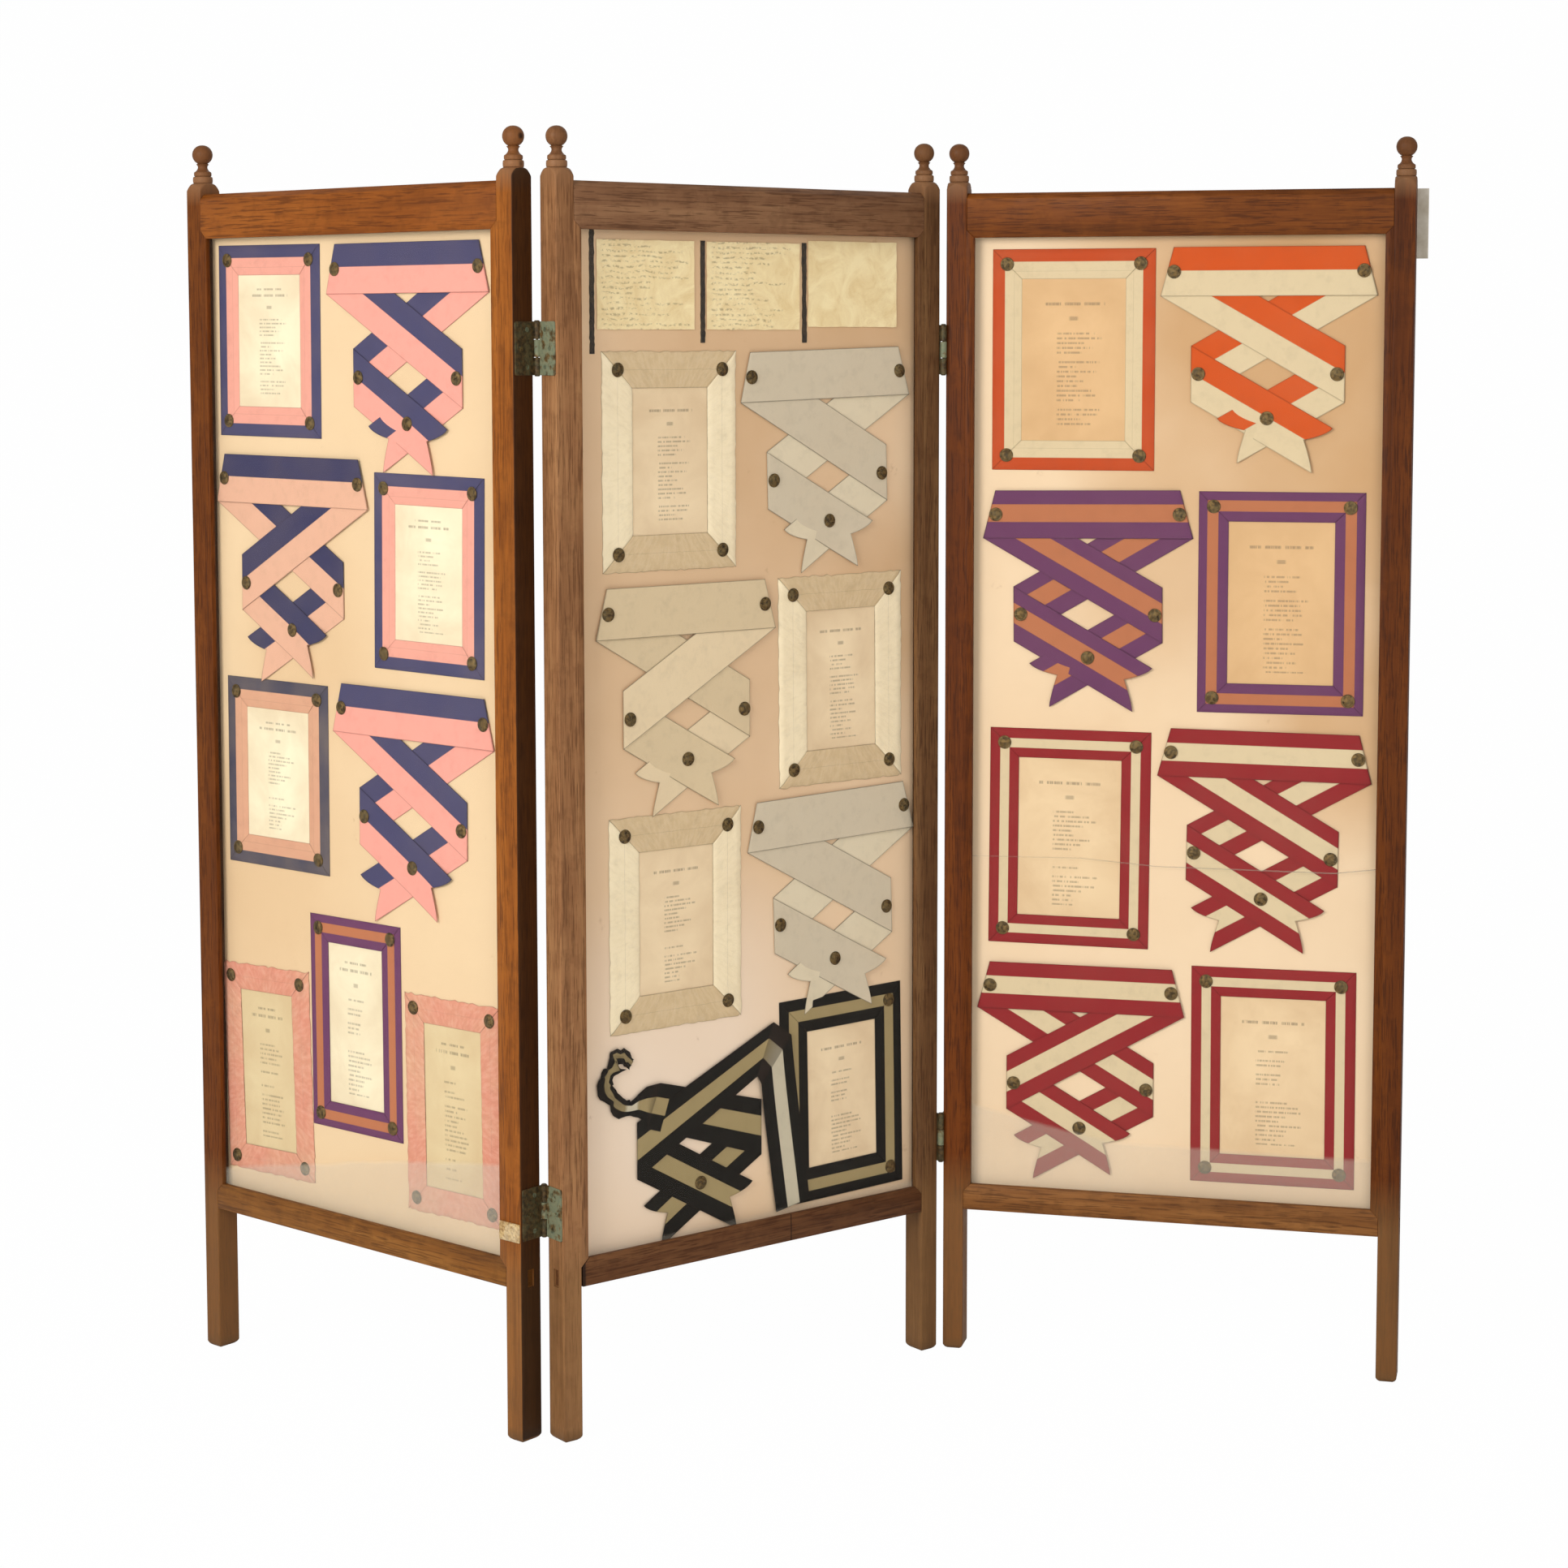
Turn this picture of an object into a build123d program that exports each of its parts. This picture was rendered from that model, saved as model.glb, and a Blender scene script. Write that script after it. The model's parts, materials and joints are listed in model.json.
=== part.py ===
"""A three-leaf glazed oak folding screen, with mounts, cards, folded ribbons and buttons behind its glass.

Every leaf is made in its own frame: X runs along the leaf from its left edge, Y from its front face
to its back, and Z up from the floor. Lengths are millimetres and angles degrees. Each leaf is then
stood in its place, where the screen's centre on the floor is the origin and +Y points to its back.
"""

import os
from dataclasses import dataclass
from math import cos, hypot, pi, radians, sin, tan

from build123d import *

os.makedirs("parts", exist_ok=True)

# Leaf
leaf_width = 592.0
rail_top = 1520.0
leg_height = 190.0
middle_turn = 35.0
left_fold = 78.0
right_fold = 52.0
cut_overrun = 2.0

# Posts
post_width = 26.5
post_depth = 33.0
arris = 1.2
foot_chamfer = 4.5

# Lip that holds the glass in front
lip_width = 10.0
lip_depth = 7.0

# Rails and their tenons
top_rail_height = 47.0
bottom_rail_height = 24.5
rail_set_back = 1.5
rail_nosing = 7.0
tenon_thickness = 10.6
tenon_inset = 1.5
tenon_fit = 0.1
through_tenon_short = 2.6
blind_tenon_length = 17.0
opened_joint = 1.6

# Turned top of a post: radii and heights of its members, from the shoulder up
shoulder_rise = 7.0
pommel_rise = 7.5
pommel_crown_share = 0.66
lower_bead_radius = 12.6
lower_bead_height = 8.6
upper_bead_radius = 11.2
upper_bead_height = 6.4
bead_bulge = 1.5
neck_radius = 6.0
neck_height = 9.5
ball_radius = 13.0
ball_height = 24.5
ball_seat_radius = 8.2
ball_crown_radius = 5.5

# Straight cuts that follow each rounded member, and flats round the turned top
pommel_cuts = 2
bead_cuts = 3
neck_cuts = 3
ball_cuts = 5
turned_flats = 16

# Glazing and backing
glass_thickness = 2.5
glass_clearance = 0.6
fillet_width = 1.8
box_depth = 8.0
mount_thickness = 2.0
backboard_thickness = 5.0
bead_width = 9.0
bead_depth = 6.0

# Butt hinges
hinge_height = 63.5
hinge_gap = 2.5
hinge_reach = 4.5
plate_thickness = 2.0
plate_depth = 31.0
plate_back_clearance = 0.1
knuckle_radius = 4.2
knuckle_gap = 0.3
pin_radius = 1.6
pin_running_clearance = 0.05
pin_head_radius = 3.2
pin_head_height = 1.4
knuckle_sides = 12
pin_bore_sides = 8
left_joint_rise = 92.0
left_joint_drop = 197.0
right_joint_rise = 96.0
right_joint_drop = 200.0

# Countersunk screws of the hinges
screw_head_radius = 3.2
screw_shank_radius = 1.6
screw_length = 16.0
screw_sides = 6
countersink_taper = 45.0
screw_fit = 0.05
screw_pitch = 22.0
screw_stagger = 5.0

# Ribbons, cards and buttons on the mounts; shares are of the display's width
display_shape_share = 0.43
ribbon_width_share = 0.115
ribbon_slope = 30.0
ribbon_thickness = 0.5
ribbon_layer_gap = 0.12
fold_width = 0.6
fold_half_share = 0.179
bar_half_share = 0.2523
long_bar_half_share = 0.2672
tail_notch_share = 0.0353
card_thickness = 0.4
card_ribbon_clearance = 0.15
tray_border_share = 0.0705
slim_border_share = 0.0631
broad_border_share = 0.0816
button_radius = 8.8
button_height = 3.4
button_taper = 16.0
button_sides = 8
curl_radius = 2.9
curl_sides = 8
curl_length_share = 0.1373
curl_tilt = 20.0

# Written notes and black bands at the head of the middle mount, as shares of the display's width
note_width_share = 0.2672
note_height_share = 0.1985
band_width_share = 0.0148
band_height_share = 0.2301
first_band_height_share = 0.2783

# Small clip on the front of the left leaf and paper tag on the back of the right one
clip_width = 34.0
clip_height = 23.0
clip_thickness = 3.0
clip_rise = 70.0
tag_width = 44.0
tag_height = 87.0
tag_thickness = 0.5
tag_overhang = 14.0
tag_eyelet_radius = 3.0
tack_head_radius = 4.6
tack_head_height = 1.5
tack_shank_radius = 1.0
tack_length = 9.0
tack_sides = 8

# Sizes that follow from those above
bay_left = post_width
bay_right = leaf_width - post_width
bay_width = bay_right - bay_left
bay_bottom = leg_height + bottom_rail_height
bay_top = rail_top - top_rail_height
bay_height = bay_top - bay_bottom
left_joint_levels = (leg_height + left_joint_rise, rail_top - left_joint_drop)
right_joint_levels = (leg_height + right_joint_rise, rail_top - right_joint_drop)
glass_back = lip_depth + glass_thickness
mount_face = glass_back + box_depth
mount_back = mount_face + mount_thickness
backboard_back = mount_back + backboard_thickness
back_bead_back = backboard_back + bead_depth
rail_depth = post_depth - rail_set_back
post_axis = (post_width / 2, post_depth / 2)
pommel_top = rail_top + shoulder_rise + pommel_rise
bead_joint = pommel_top + lower_bead_height
beads_top = bead_joint + upper_bead_height
ball_seat = beads_top + neck_height
ball_top = ball_seat + ball_height
tenon_front = (post_depth - tenon_thickness) / 2
tenon_back = (post_depth + tenon_thickness) / 2
display_width = min(bay_width, bay_height * display_shape_share)
ribbon_width = display_width * ribbon_width_share
fold_half_width = display_width * fold_half_share
tail_notch = display_width * tail_notch_share
curl_length = display_width * curl_length_share
layer_pitch = ribbon_thickness + ribbon_layer_gap
folded_ribbon_base = ribbon_thickness + ribbon_layer_gap
middle_of_leaf = Plane.YZ.offset(leaf_width / 2)
middle_of_depth = Plane.XZ.offset(-post_depth / 2)
hinge_pin = (-hinge_gap, post_depth + hinge_reach)


def front_view(depth):
    """Upright plane, X along the leaf and Y up, this far behind the leaf's front face.

    What is extruded from it by a positive amount grows towards the front.
    """
    return Plane.XZ.offset(-depth)


def on_mount(place):
    """Point of the front view at two shares of the bay between the posts and rails."""
    across_share, up_share = place
    return (bay_left + across_share * bay_width, bay_bottom + up_share * bay_height)


def block(left, right, bottom, top):
    """Adds an upright rectangle to the front-view sketch in hand."""
    with Locations((left, bottom)):
        Rectangle(right - left, top - bottom, align=(Align.MIN, Align.MIN))


def outline(*points):
    """Adds a filled polygon to the sketch in hand."""
    Polygon(*points, align=None)


# Places of the leaves


def turned_about(pin_beside, turn, pin_of_leaf):
    """Place of a leaf whose pin stands on its neighbour's, turned from flat by an angle."""
    there = Location((pin_beside[0], pin_beside[1], 0))
    back = Location((-pin_of_leaf[0], -pin_of_leaf[1], 0))
    return there * Location((0, 0, 0), (0, 0, turn)) * back


back_pin_left = hinge_pin
back_pin_right = (leaf_width + hinge_gap, post_depth + hinge_reach)
front_pin_left = (-hinge_gap, -hinge_reach)
front_pin_right = (leaf_width + hinge_gap, -hinge_reach)

middle_turned = Location((0, 0, 0), (0, 0, middle_turn))
left_turned = middle_turned * turned_about(back_pin_left, -left_fold, back_pin_right)
right_turned = middle_turned * turned_about(front_pin_right, -right_fold, front_pin_left)


def plan_corners(turned):
    """The four corners of a leaf's outline on the floor."""
    corners = [(x, y, 0) for x in (0, leaf_width) for y in (0, post_depth)]
    return [(turned * Location(corner)).position for corner in corners]


plan = plan_corners(left_turned) + plan_corners(middle_turned) + plan_corners(right_turned)
plan_middle_x = (min(p.X for p in plan) + max(p.X for p in plan)) / 2
plan_middle_y = (min(p.Y for p in plan) + max(p.Y for p in plan)) / 2
to_centre = Location((-plan_middle_x, -plan_middle_y, 0))

left_leaf = to_centre * left_turned
middle_leaf = to_centre * middle_turned
right_leaf = to_centre * right_turned


def keep(piece, leaf, name):
    """Stands a finished piece in its leaf's place and writes it under its own name."""
    placed = piece.moved(leaf)
    placed.label = name
    export_step(placed, f"parts/{name}.step")


# Posts with their turned tops


def cuts_along(start, middle, end, cuts):
    """Corners, after the start, of the straight cuts that follow an arc of a turned profile."""
    arc = Edge.make_three_point_arc(start, middle, end)
    corners = [arc @ (cut / cuts) for cut in range(1, cuts + 1)]
    return [(corner.X, corner.Y) for corner in corners]


def turned_profile():
    """Radii and heights of a post's outline, from below the floor to the crown of its ball."""
    half_diagonal = hypot(post_width, post_depth) / 2
    shoulder = rail_top + shoulder_rise
    crown = (
        lower_bead_radius + (half_diagonal - lower_bead_radius) * pommel_crown_share,
        shoulder + pommel_rise * pommel_crown_share,
    )
    lower_ends = lower_bead_radius - bead_bulge
    upper_ends = upper_bead_radius - bead_bulge
    lower_waist = (lower_bead_radius, (pommel_top + bead_joint) / 2)
    upper_waist = (upper_bead_radius, (bead_joint + beads_top) / 2)
    neck_waist = (neck_radius, (beads_top + ball_seat) / 2)
    ball_waist = (ball_radius, (ball_seat + ball_top) / 2)
    return [
        (half_diagonal, -cut_overrun),
        (half_diagonal, shoulder),
        *cuts_along((half_diagonal, shoulder), crown, (lower_bead_radius, pommel_top), pommel_cuts),
        (lower_ends, pommel_top),
        *cuts_along((lower_ends, pommel_top), lower_waist, (lower_ends, bead_joint), bead_cuts),
        (upper_ends, bead_joint),
        *cuts_along((upper_ends, bead_joint), upper_waist, (upper_ends, beads_top), bead_cuts),
        *cuts_along((upper_ends, beads_top), neck_waist, (ball_seat_radius, ball_seat), neck_cuts),
        *cuts_along((ball_seat_radius, ball_seat), ball_waist, (ball_crown_radius, ball_top), ball_cuts),
    ]


def turn_top():
    """Cuts the square post in hand to its turned outline, flat by flat round its centre line."""
    right_side = turned_profile()
    left_side = [(-radius, height) for radius, height in reversed(right_side)]
    for flat in range(turned_flats // 2):
        turn = 2 * pi * flat / turned_flats
        facing = Plane(origin=(*post_axis, 0), x_dir=(-sin(turn), cos(turn), 0), z_dir=(cos(turn), sin(turn), 0))
        with BuildSketch(facing) as silhouette:
            outline(*right_side, *left_side)
        extrude(silhouette.sketch, amount=post_depth, both=True, mode=Mode.INTERSECT)


def add_lip():
    """Front lip down the bay side of a post, mitred at both ends to meet the rails' lips."""
    inner = bay_left + lip_width
    with BuildSketch(front_view(lip_depth)) as lip:
        outline(
            (bay_left - arris, bay_bottom),
            (bay_left, bay_bottom),
            (inner, bay_bottom + lip_width),
            (inner, bay_top - lip_width),
            (bay_left, bay_top),
            (bay_left - arris, bay_top),
        )
    extrude(lip.sketch, amount=lip_depth)


def cut_mortise(bottom, top, depth):
    """Mortise for a rail's tenon, cut from the bay side into the middle of the post's thickness."""
    with BuildSketch(front_view(tenon_back + tenon_fit)) as mortise:
        block(bay_left - depth, bay_left + cut_overrun, bottom - tenon_fit, top + tenon_fit)
    extrude(mortise.sketch, amount=tenon_thickness + 2 * tenon_fit, mode=Mode.SUBTRACT)


def screw_places(levels, pin_at_back):
    """Places of a hinged edge's screws, three to a plate, across the edge and up it."""
    side = 1 if pin_at_back else -1
    rows = ((-screw_pitch, side * screw_stagger), (0, -side * screw_stagger), (screw_pitch, side * screw_stagger))
    return [(post_depth / 2 + across, level + up) for level in levels for up, across in rows]


def make_post(levels=(), pin_at_back=True):
    """A leaf's left post: foot, lip, mortises, screw holes and turned top."""
    with BuildPart() as post:
        with BuildSketch():
            with Locations(post_axis):
                Rectangle(post_width, post_depth)
        extrude(amount=ball_top)
        chamfer(post.faces().sort_by(Axis.Z)[0].edges(), foot_chamfer)
        chamfer(post.edges().filter_by(Axis.Z), arris)
        turn_top()
        add_lip()
        cut_mortise(leg_height + tenon_inset, bay_bottom - tenon_inset, post_width + cut_overrun)
        cut_mortise(bay_top + tenon_inset, rail_top - rail_nosing - tenon_inset, blind_tenon_length + tenon_fit)
        for across, up in screw_places(levels, pin_at_back):
            with BuildSketch(screw_plane(across, up, 0)):
                RegularPolygon(screw_shank_radius + screw_fit, screw_sides)
            extrude(amount=screw_length + screw_fit, mode=Mode.SUBTRACT)
    return post.part


# Rails


def add_tenon(bottom, top, length):
    """Tenon beyond the left shoulder of a rail."""
    with BuildSketch(front_view(tenon_back)) as tenon:
        block(bay_left - length, bay_left + cut_overrun, bottom, top)
    extrude(tenon.sketch, amount=tenon_thickness)


def make_top_rail():
    """Top rail with its glass lip below, eased front edge above and a blind tenon at each end."""
    with BuildPart() as rail:
        with BuildSketch(front_view(rail_depth)):
            block(bay_left, bay_right, bay_top, rail_top)
        extrude(amount=rail_depth)
        front_top = rail.edges().filter_by(Axis.X).group_by(Axis.Z)[-1].sort_by(Axis.Y)[0]
        chamfer(front_top, rail_nosing)
        with BuildSketch(front_view(lip_depth)):
            outline(
                (bay_left, bay_top),
                (bay_left + lip_width, bay_top - lip_width),
                (bay_right - lip_width, bay_top - lip_width),
                (bay_right, bay_top),
            )
        extrude(amount=lip_depth)
        add_tenon(bay_top + tenon_inset, rail_top - rail_nosing - tenon_inset, blind_tenon_length)
        mirror(about=middle_of_leaf)
    return rail.part


def make_bottom_rail(opened=0.0):
    """Bottom rail with its glass lip above and a through tenon at each end.

    Args:
        opened: how far the left shoulder has drawn out of its joint.
    """
    with BuildPart() as rail:
        with BuildSketch(front_view(rail_depth)):
            block(bay_left, bay_right, leg_height, bay_bottom)
        extrude(amount=rail_depth)
        with BuildSketch(front_view(lip_depth)):
            outline(
                (bay_left, bay_bottom),
                (bay_left + lip_width, bay_bottom + lip_width),
                (bay_right - lip_width, bay_bottom + lip_width),
                (bay_right, bay_bottom),
            )
        extrude(amount=lip_depth)
        add_tenon(leg_height + tenon_inset, bay_bottom - tenon_inset, post_width - through_tenon_short)
        mirror(about=middle_of_leaf)
        if opened:
            shoulder = [(bay_left, leg_height), (bay_left, bay_bottom)]
            corner = (bay_left + lip_width, bay_bottom + lip_width)
            for depth, thickness in ((tenon_front, tenon_front), (rail_depth, rail_depth - tenon_back)):
                with BuildSketch(front_view(depth)):
                    outline(*shoulder, corner, (corner[0] + opened, corner[1]),
                            (bay_left + opened, bay_bottom), (bay_left + opened, leg_height))
                extrude(amount=thickness, mode=Mode.SUBTRACT)
    return rail.part


# Glass, mount and backing of a leaf


def make_panel(back, thickness):
    """Flat panel that fills the rebate, with its back face at this depth."""
    gap = glass_clearance
    with BuildPart() as panel:
        with BuildSketch(front_view(back)):
            block(bay_left + gap, bay_right - gap, bay_bottom + gap, bay_top - gap)
        extrude(amount=thickness)
    return panel.part


def make_surround(back, thickness, width):
    """Four butted strips round the inside of the rebate, uprights between the level ones."""
    gap = glass_clearance
    left, right, bottom, top = bay_left + gap, bay_right - gap, bay_bottom + gap, bay_top - gap
    with BuildPart() as surround:
        with BuildSketch(front_view(back)):
            block(left, right, bottom, bottom + width)
            block(left, right, top - width, top)
            block(left, left + width, bottom + width + gap, top - width - gap)
            block(right - width, right, bottom + width + gap, top - width - gap)
        extrude(amount=thickness)
    return surround.part


# Butt hinges


@dataclass(frozen=True)
class Knuckles:
    """Which of a hinge's three knuckles a plate carries, counted from the bottom."""

    rows: tuple[int, ...]


outer_knuckles = Knuckles((0, 2))
centre_knuckle = Knuckles((1,))
knuckle_pitch = hinge_height / 3
countersink = (screw_head_radius - screw_shank_radius) * cos(pi / screw_sides)


def screw_plane(across, up, x):
    """Plane across a screw of the left edge, which faces along the screw."""
    return Plane(origin=(x, across, up), x_dir=(0, 1, 0), z_dir=(1, 0, 0))


def make_plate(level, knuckles):
    """Hinge plate on a left edge with its pin behind the leaf, and its knuckles round the pin."""
    bottom = level - hinge_height / 2
    plate_back = post_depth - plate_back_clearance
    with BuildPart() as plate:
        with BuildSketch(Plane.XY.offset(bottom)):
            with Locations((-plate_thickness, plate_back - plate_depth)):
                Rectangle(plate_thickness, plate_depth, align=(Align.MIN, Align.MIN))
        extrude(amount=hinge_height)
        for across, up in screw_places((level,), True):
            with BuildSketch(screw_plane(across, up, -plate_thickness)):
                RegularPolygon(screw_shank_radius + screw_fit, screw_sides)
            extrude(amount=plate_thickness, mode=Mode.SUBTRACT)
        seats = plate.faces().sort_by(Axis.X)[0].inner_wires()
        chamfer([edge for seat in seats for edge in seat.edges()], countersink)
        for row in knuckles.rows:
            low = bottom + row * knuckle_pitch + (knuckle_gap if row > 0 else 0)
            high = bottom + (row + 1) * knuckle_pitch - (knuckle_gap if row < 2 else 0)
            with BuildSketch(Plane.XY.offset(low)):
                with Locations(hinge_pin):
                    RegularPolygon(knuckle_radius, knuckle_sides)
                with Locations((-plate_thickness, plate_back)):
                    Rectangle(plate_thickness, hinge_pin[1] - plate_back, align=(Align.MIN, Align.MIN))
            extrude(amount=high - low)
        with BuildSketch(Plane.XY.offset(bottom)):
            with Locations(hinge_pin):
                RegularPolygon(pin_radius + pin_running_clearance, pin_bore_sides, major_radius=False)
        extrude(amount=hinge_height, mode=Mode.SUBTRACT)
    return plate.part


def make_hinge_pins(levels):
    """One joint's pins, each with a flat head at both ends of its barrel."""
    pins = []
    for level in levels:
        bottom = level - hinge_height / 2
        with BuildPart() as pin:
            with BuildSketch(Plane.XY.offset(bottom)):
                with Locations(hinge_pin):
                    Circle(pin_radius)
            extrude(amount=hinge_height)
            for low in (bottom - pin_head_height, bottom + hinge_height):
                with BuildSketch(Plane.XY.offset(low)):
                    with Locations(hinge_pin):
                        RegularPolygon(pin_head_radius, knuckle_sides)
                extrude(amount=pin_head_height)
        pins.append(pin.part)
    return pins


def make_screws(levels, pin_at_back):
    """The countersunk screws of the plates on a left edge."""
    with BuildPart() as screws:
        for across, up in screw_places(levels, pin_at_back):
            with BuildSketch(screw_plane(across, up, -plate_thickness)):
                RegularPolygon(screw_head_radius, screw_sides)
            extrude(amount=countersink, taper=countersink_taper)
            with BuildSketch(screw_plane(across, up, -plate_thickness)):
                RegularPolygon(screw_shank_radius, screw_sides)
            extrude(amount=plate_thickness + screw_length)
    return screws.part


# Cards, each under a border of ribbon


@dataclass(frozen=True)
class Card:
    """Size of a card in its ribbon border, in shares of the display's width."""

    width_share: float
    height_share: float
    border_share: float

    @property
    def width(self):
        return self.width_share * display_width

    @property
    def height(self):
        return self.height_share * display_width

    @property
    def border(self):
        return self.border_share * display_width

    @property
    def half_width(self):
        return self.width / 2 + self.border

    @property
    def half_height(self):
        return self.height / 2 + self.border


small_card = Card(0.2189, 0.3098, tray_border_share)
tall_card = Card(0.1855, 0.3822, slim_border_share)
square_card = Card(0.2078, 0.3302, broad_border_share)
large_card = Card(0.2486, 0.3840, tray_border_share)

left_cards = [
    (small_card, (0.207, 0.888)),
    (small_card, (0.741, 0.662)),
    (small_card, (0.214, 0.447)),
    (tall_card, (0.478, 0.201)),
    (tall_card, (0.163, 0.136)),
    (tall_card, (0.804, 0.138)),
]
middle_cards = [
    (square_card, (0.276, 0.772)),
    (square_card, (0.771, 0.547)),
    (square_card, (0.288, 0.323)),
    (square_card, (0.775, 0.119)),
]
right_cards = [
    (large_card, (0.253, 0.868)),
    (large_card, (0.750, 0.623)),
    (large_card, (0.251, 0.376)),
    (large_card, (0.745, 0.136)),
]


def make_cards(cards):
    """The cards themselves, flat on the mount inside their borders."""
    with BuildPart() as papers:
        with BuildSketch(front_view(mount_face)):
            for card, place in cards:
                with Locations(on_mount(place)):
                    Rectangle(card.width - 2 * card_ribbon_clearance, card.height - 2 * card_ribbon_clearance)
        extrude(amount=card_thickness)
    return papers.part


def make_card_ribbons(cards):
    """The cards' borders, each one ribbon mitred at its corners."""
    with BuildPart() as borders:
        with BuildSketch(front_view(mount_face)):
            for card, place in cards:
                with Locations(on_mount(place)):
                    Rectangle(2 * card.half_width, 2 * card.half_height)
            for card, place in cards:
                with Locations(on_mount(place)):
                    Rectangle(card.width, card.height, mode=Mode.SUBTRACT)
        extrude(amount=ribbon_thickness)
    return borders.part


# Ribbons folded into a bar, two crossed limbs and two tails


@dataclass(frozen=True)
class Folded:
    """A folded ribbon on the mount.

    Attributes:
        place: shares of the bay at the middle of the bar's lower edge.
        left_tail_share: how far the left tail reaches down its slope from under the bar.
        right_tail_share: the same on the right.
        half_bar_share: half the length of the bar's lower edge.
        rising_over: whether the limb that rises to the right lies over the falling one.
        fallen: whether the bar has dropped and hangs from its right end.
    """

    place: tuple[float, float]
    left_tail_share: float
    right_tail_share: float
    half_bar_share: float = bar_half_share
    rising_over: bool = False
    fallen: bool = False

    @property
    def left_tail(self):
        return self.left_tail_share * display_width

    @property
    def right_tail(self):
        return self.right_tail_share * display_width

    @property
    def half_bar(self):
        return self.half_bar_share * display_width


left_folded = [
    Folded((0.680, 0.934), 0.2727, 0.2801, long_bar_half_share),
    Folded((0.279, 0.723), 0.3098, 0.2672, long_bar_half_share, rising_over=True),
    Folded((0.682, 0.498), 0.3265, 0.2783, long_bar_half_share),
]
middle_folded = [
    Folded((0.726, 0.830), 0.2783, 0.2690),
    Folded((0.320, 0.603), 0.2931, 0.2727, rising_over=True),
    Folded((0.743, 0.383), 0.2876, 0.3006),
    Folded((0.352, 0.178), 0.2820, 0.2783, fallen=True),
]
right_folded = [
    Folded((0.712, 0.932), 0.2560, 0.2987),
    Folded((0.290, 0.686), 0.2839, 0.3006),
    Folded((0.715, 0.443), 0.3117, 0.2950),
    Folded((0.281, 0.194), 0.3061, 0.2653, rising_over=True),
]

slope = radians(ribbon_slope)
end_fold_run = ribbon_width / tan(radians(90 - ribbon_slope / 2))
band_height_on_slope = ribbon_width / cos(slope)


def limb_drop(half_bar):
    """How far below the bar's lower edge a limb's lower edge is where it folds upright."""
    return (half_bar + fold_half_width) * tan(slope)


def tail_outline(side, reach, drop):
    """Outline of a tail that starts at the upright fold on the other side and ends in a notch."""
    along = (side * cos(slope), -sin(slope))
    across = (side * sin(slope), cos(slope))
    fold_x = -side * fold_half_width
    low_start = (fold_x, -drop)
    high_start = (fold_x, band_height_on_slope - drop)
    low_offset = low_start[0] * across[0] + low_start[1] * across[1]

    def at(run, rise):
        return (run * along[0] + rise * across[0], run * along[1] + rise * across[1])

    return [
        low_start,
        at(reach, low_offset),
        at(reach - tail_notch, low_offset + ribbon_width / 2),
        at(reach, low_offset + ribbon_width),
        high_start,
    ]


def limb_outline(side, half_bar, drop):
    """Outline of the limb from the bar's end on this side to the upright fold on the other."""
    return [
        (side * half_bar, 0),
        (side * (half_bar - end_fold_run), ribbon_width),
        (-side * fold_half_width, band_height_on_slope - drop),
        (-side * fold_half_width, -drop),
    ]


def bar_outline(half_bar):
    """Outline of the bar between its two slanting end folds."""
    upper = half_bar - end_fold_run
    return [(-half_bar, 0), (half_bar, 0), (upper, ribbon_width), (-upper, ribbon_width)]


fallen_bar_shares = [(2.77, -3.31), (1.97, -3.48), (1.45, -0.35)]


def fallen_outline(bar_end, bar_corner):
    """Outline of the dropped bar, which hangs from its right end fold."""
    hanging = [(across * ribbon_width, up * ribbon_width) for across, up in fallen_bar_shares]
    return [bar_corner, bar_end, *hanging]


def layer_face(layer):
    """Depth of the back of a ribbon layer, counted up from the mount."""
    return mount_face - folded_ribbon_base - layer * layer_pitch


def add_layer(place, points, layer):
    """Adds one flat run of folded ribbon."""
    with BuildSketch(front_view(layer_face(layer))) as run:
        outline(*[(place[0] + x, place[1] + z) for x, z in points])
    extrude(run.sketch, amount=ribbon_thickness)


def add_fold(place, start, end, inward, low_layer, high_layer):
    """Adds the turn of the ribbon between two layers, along its fold line."""
    strip = [start, end, (end[0] + inward, end[1]), (start[0] + inward, start[1])]
    with BuildSketch(front_view(layer_face(low_layer))) as turn:
        outline(*[(place[0] + x, place[1] + z) for x, z in strip])
    extrude(turn.sketch, amount=(high_layer - low_layer) * layer_pitch + ribbon_thickness)


def make_folded_ribbons(ribbons):
    """Each folded ribbon as one strip, which turns from layer to layer at its folds."""
    with BuildPart() as folded:
        for ribbon in ribbons:
            place = on_mount(ribbon.place)
            half_bar = ribbon.half_bar
            drop = limb_drop(half_bar)
            rising, bar = (2, 3) if ribbon.rising_over else (0, 2)
            low_fold, high_fold = -drop, band_height_on_slope - drop
            bar_end, bar_corner = (half_bar, 0), (half_bar - end_fold_run, ribbon_width)
            other_end, other_corner = (-half_bar, 0), (end_fold_run - half_bar, ribbon_width)
            add_layer(place, tail_outline(-1, ribbon.left_tail, drop), 0)
            add_layer(place, tail_outline(1, ribbon.right_tail, drop), 1)
            add_layer(place, limb_outline(-1, half_bar, drop), 1)
            add_layer(place, limb_outline(1, half_bar, drop), rising)
            right_fold = ((fold_half_width, low_fold), (fold_half_width, high_fold))
            left_fold_line = ((-fold_half_width, low_fold), (-fold_half_width, high_fold))
            add_fold(place, *right_fold, -fold_width, 0, 1)
            add_fold(place, *left_fold_line, fold_width, min(rising, 1), max(rising, 1))
            add_fold(place, bar_end, bar_corner, -fold_width, rising, bar)
            if ribbon.fallen:
                add_layer(place, fallen_outline(bar_end, bar_corner), bar)
                add_curl(place, half_bar)
            else:
                add_layer(place, bar_outline(half_bar), bar)
                add_fold(place, other_end, other_corner, fold_width, 1, bar)
    return folded.part


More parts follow.
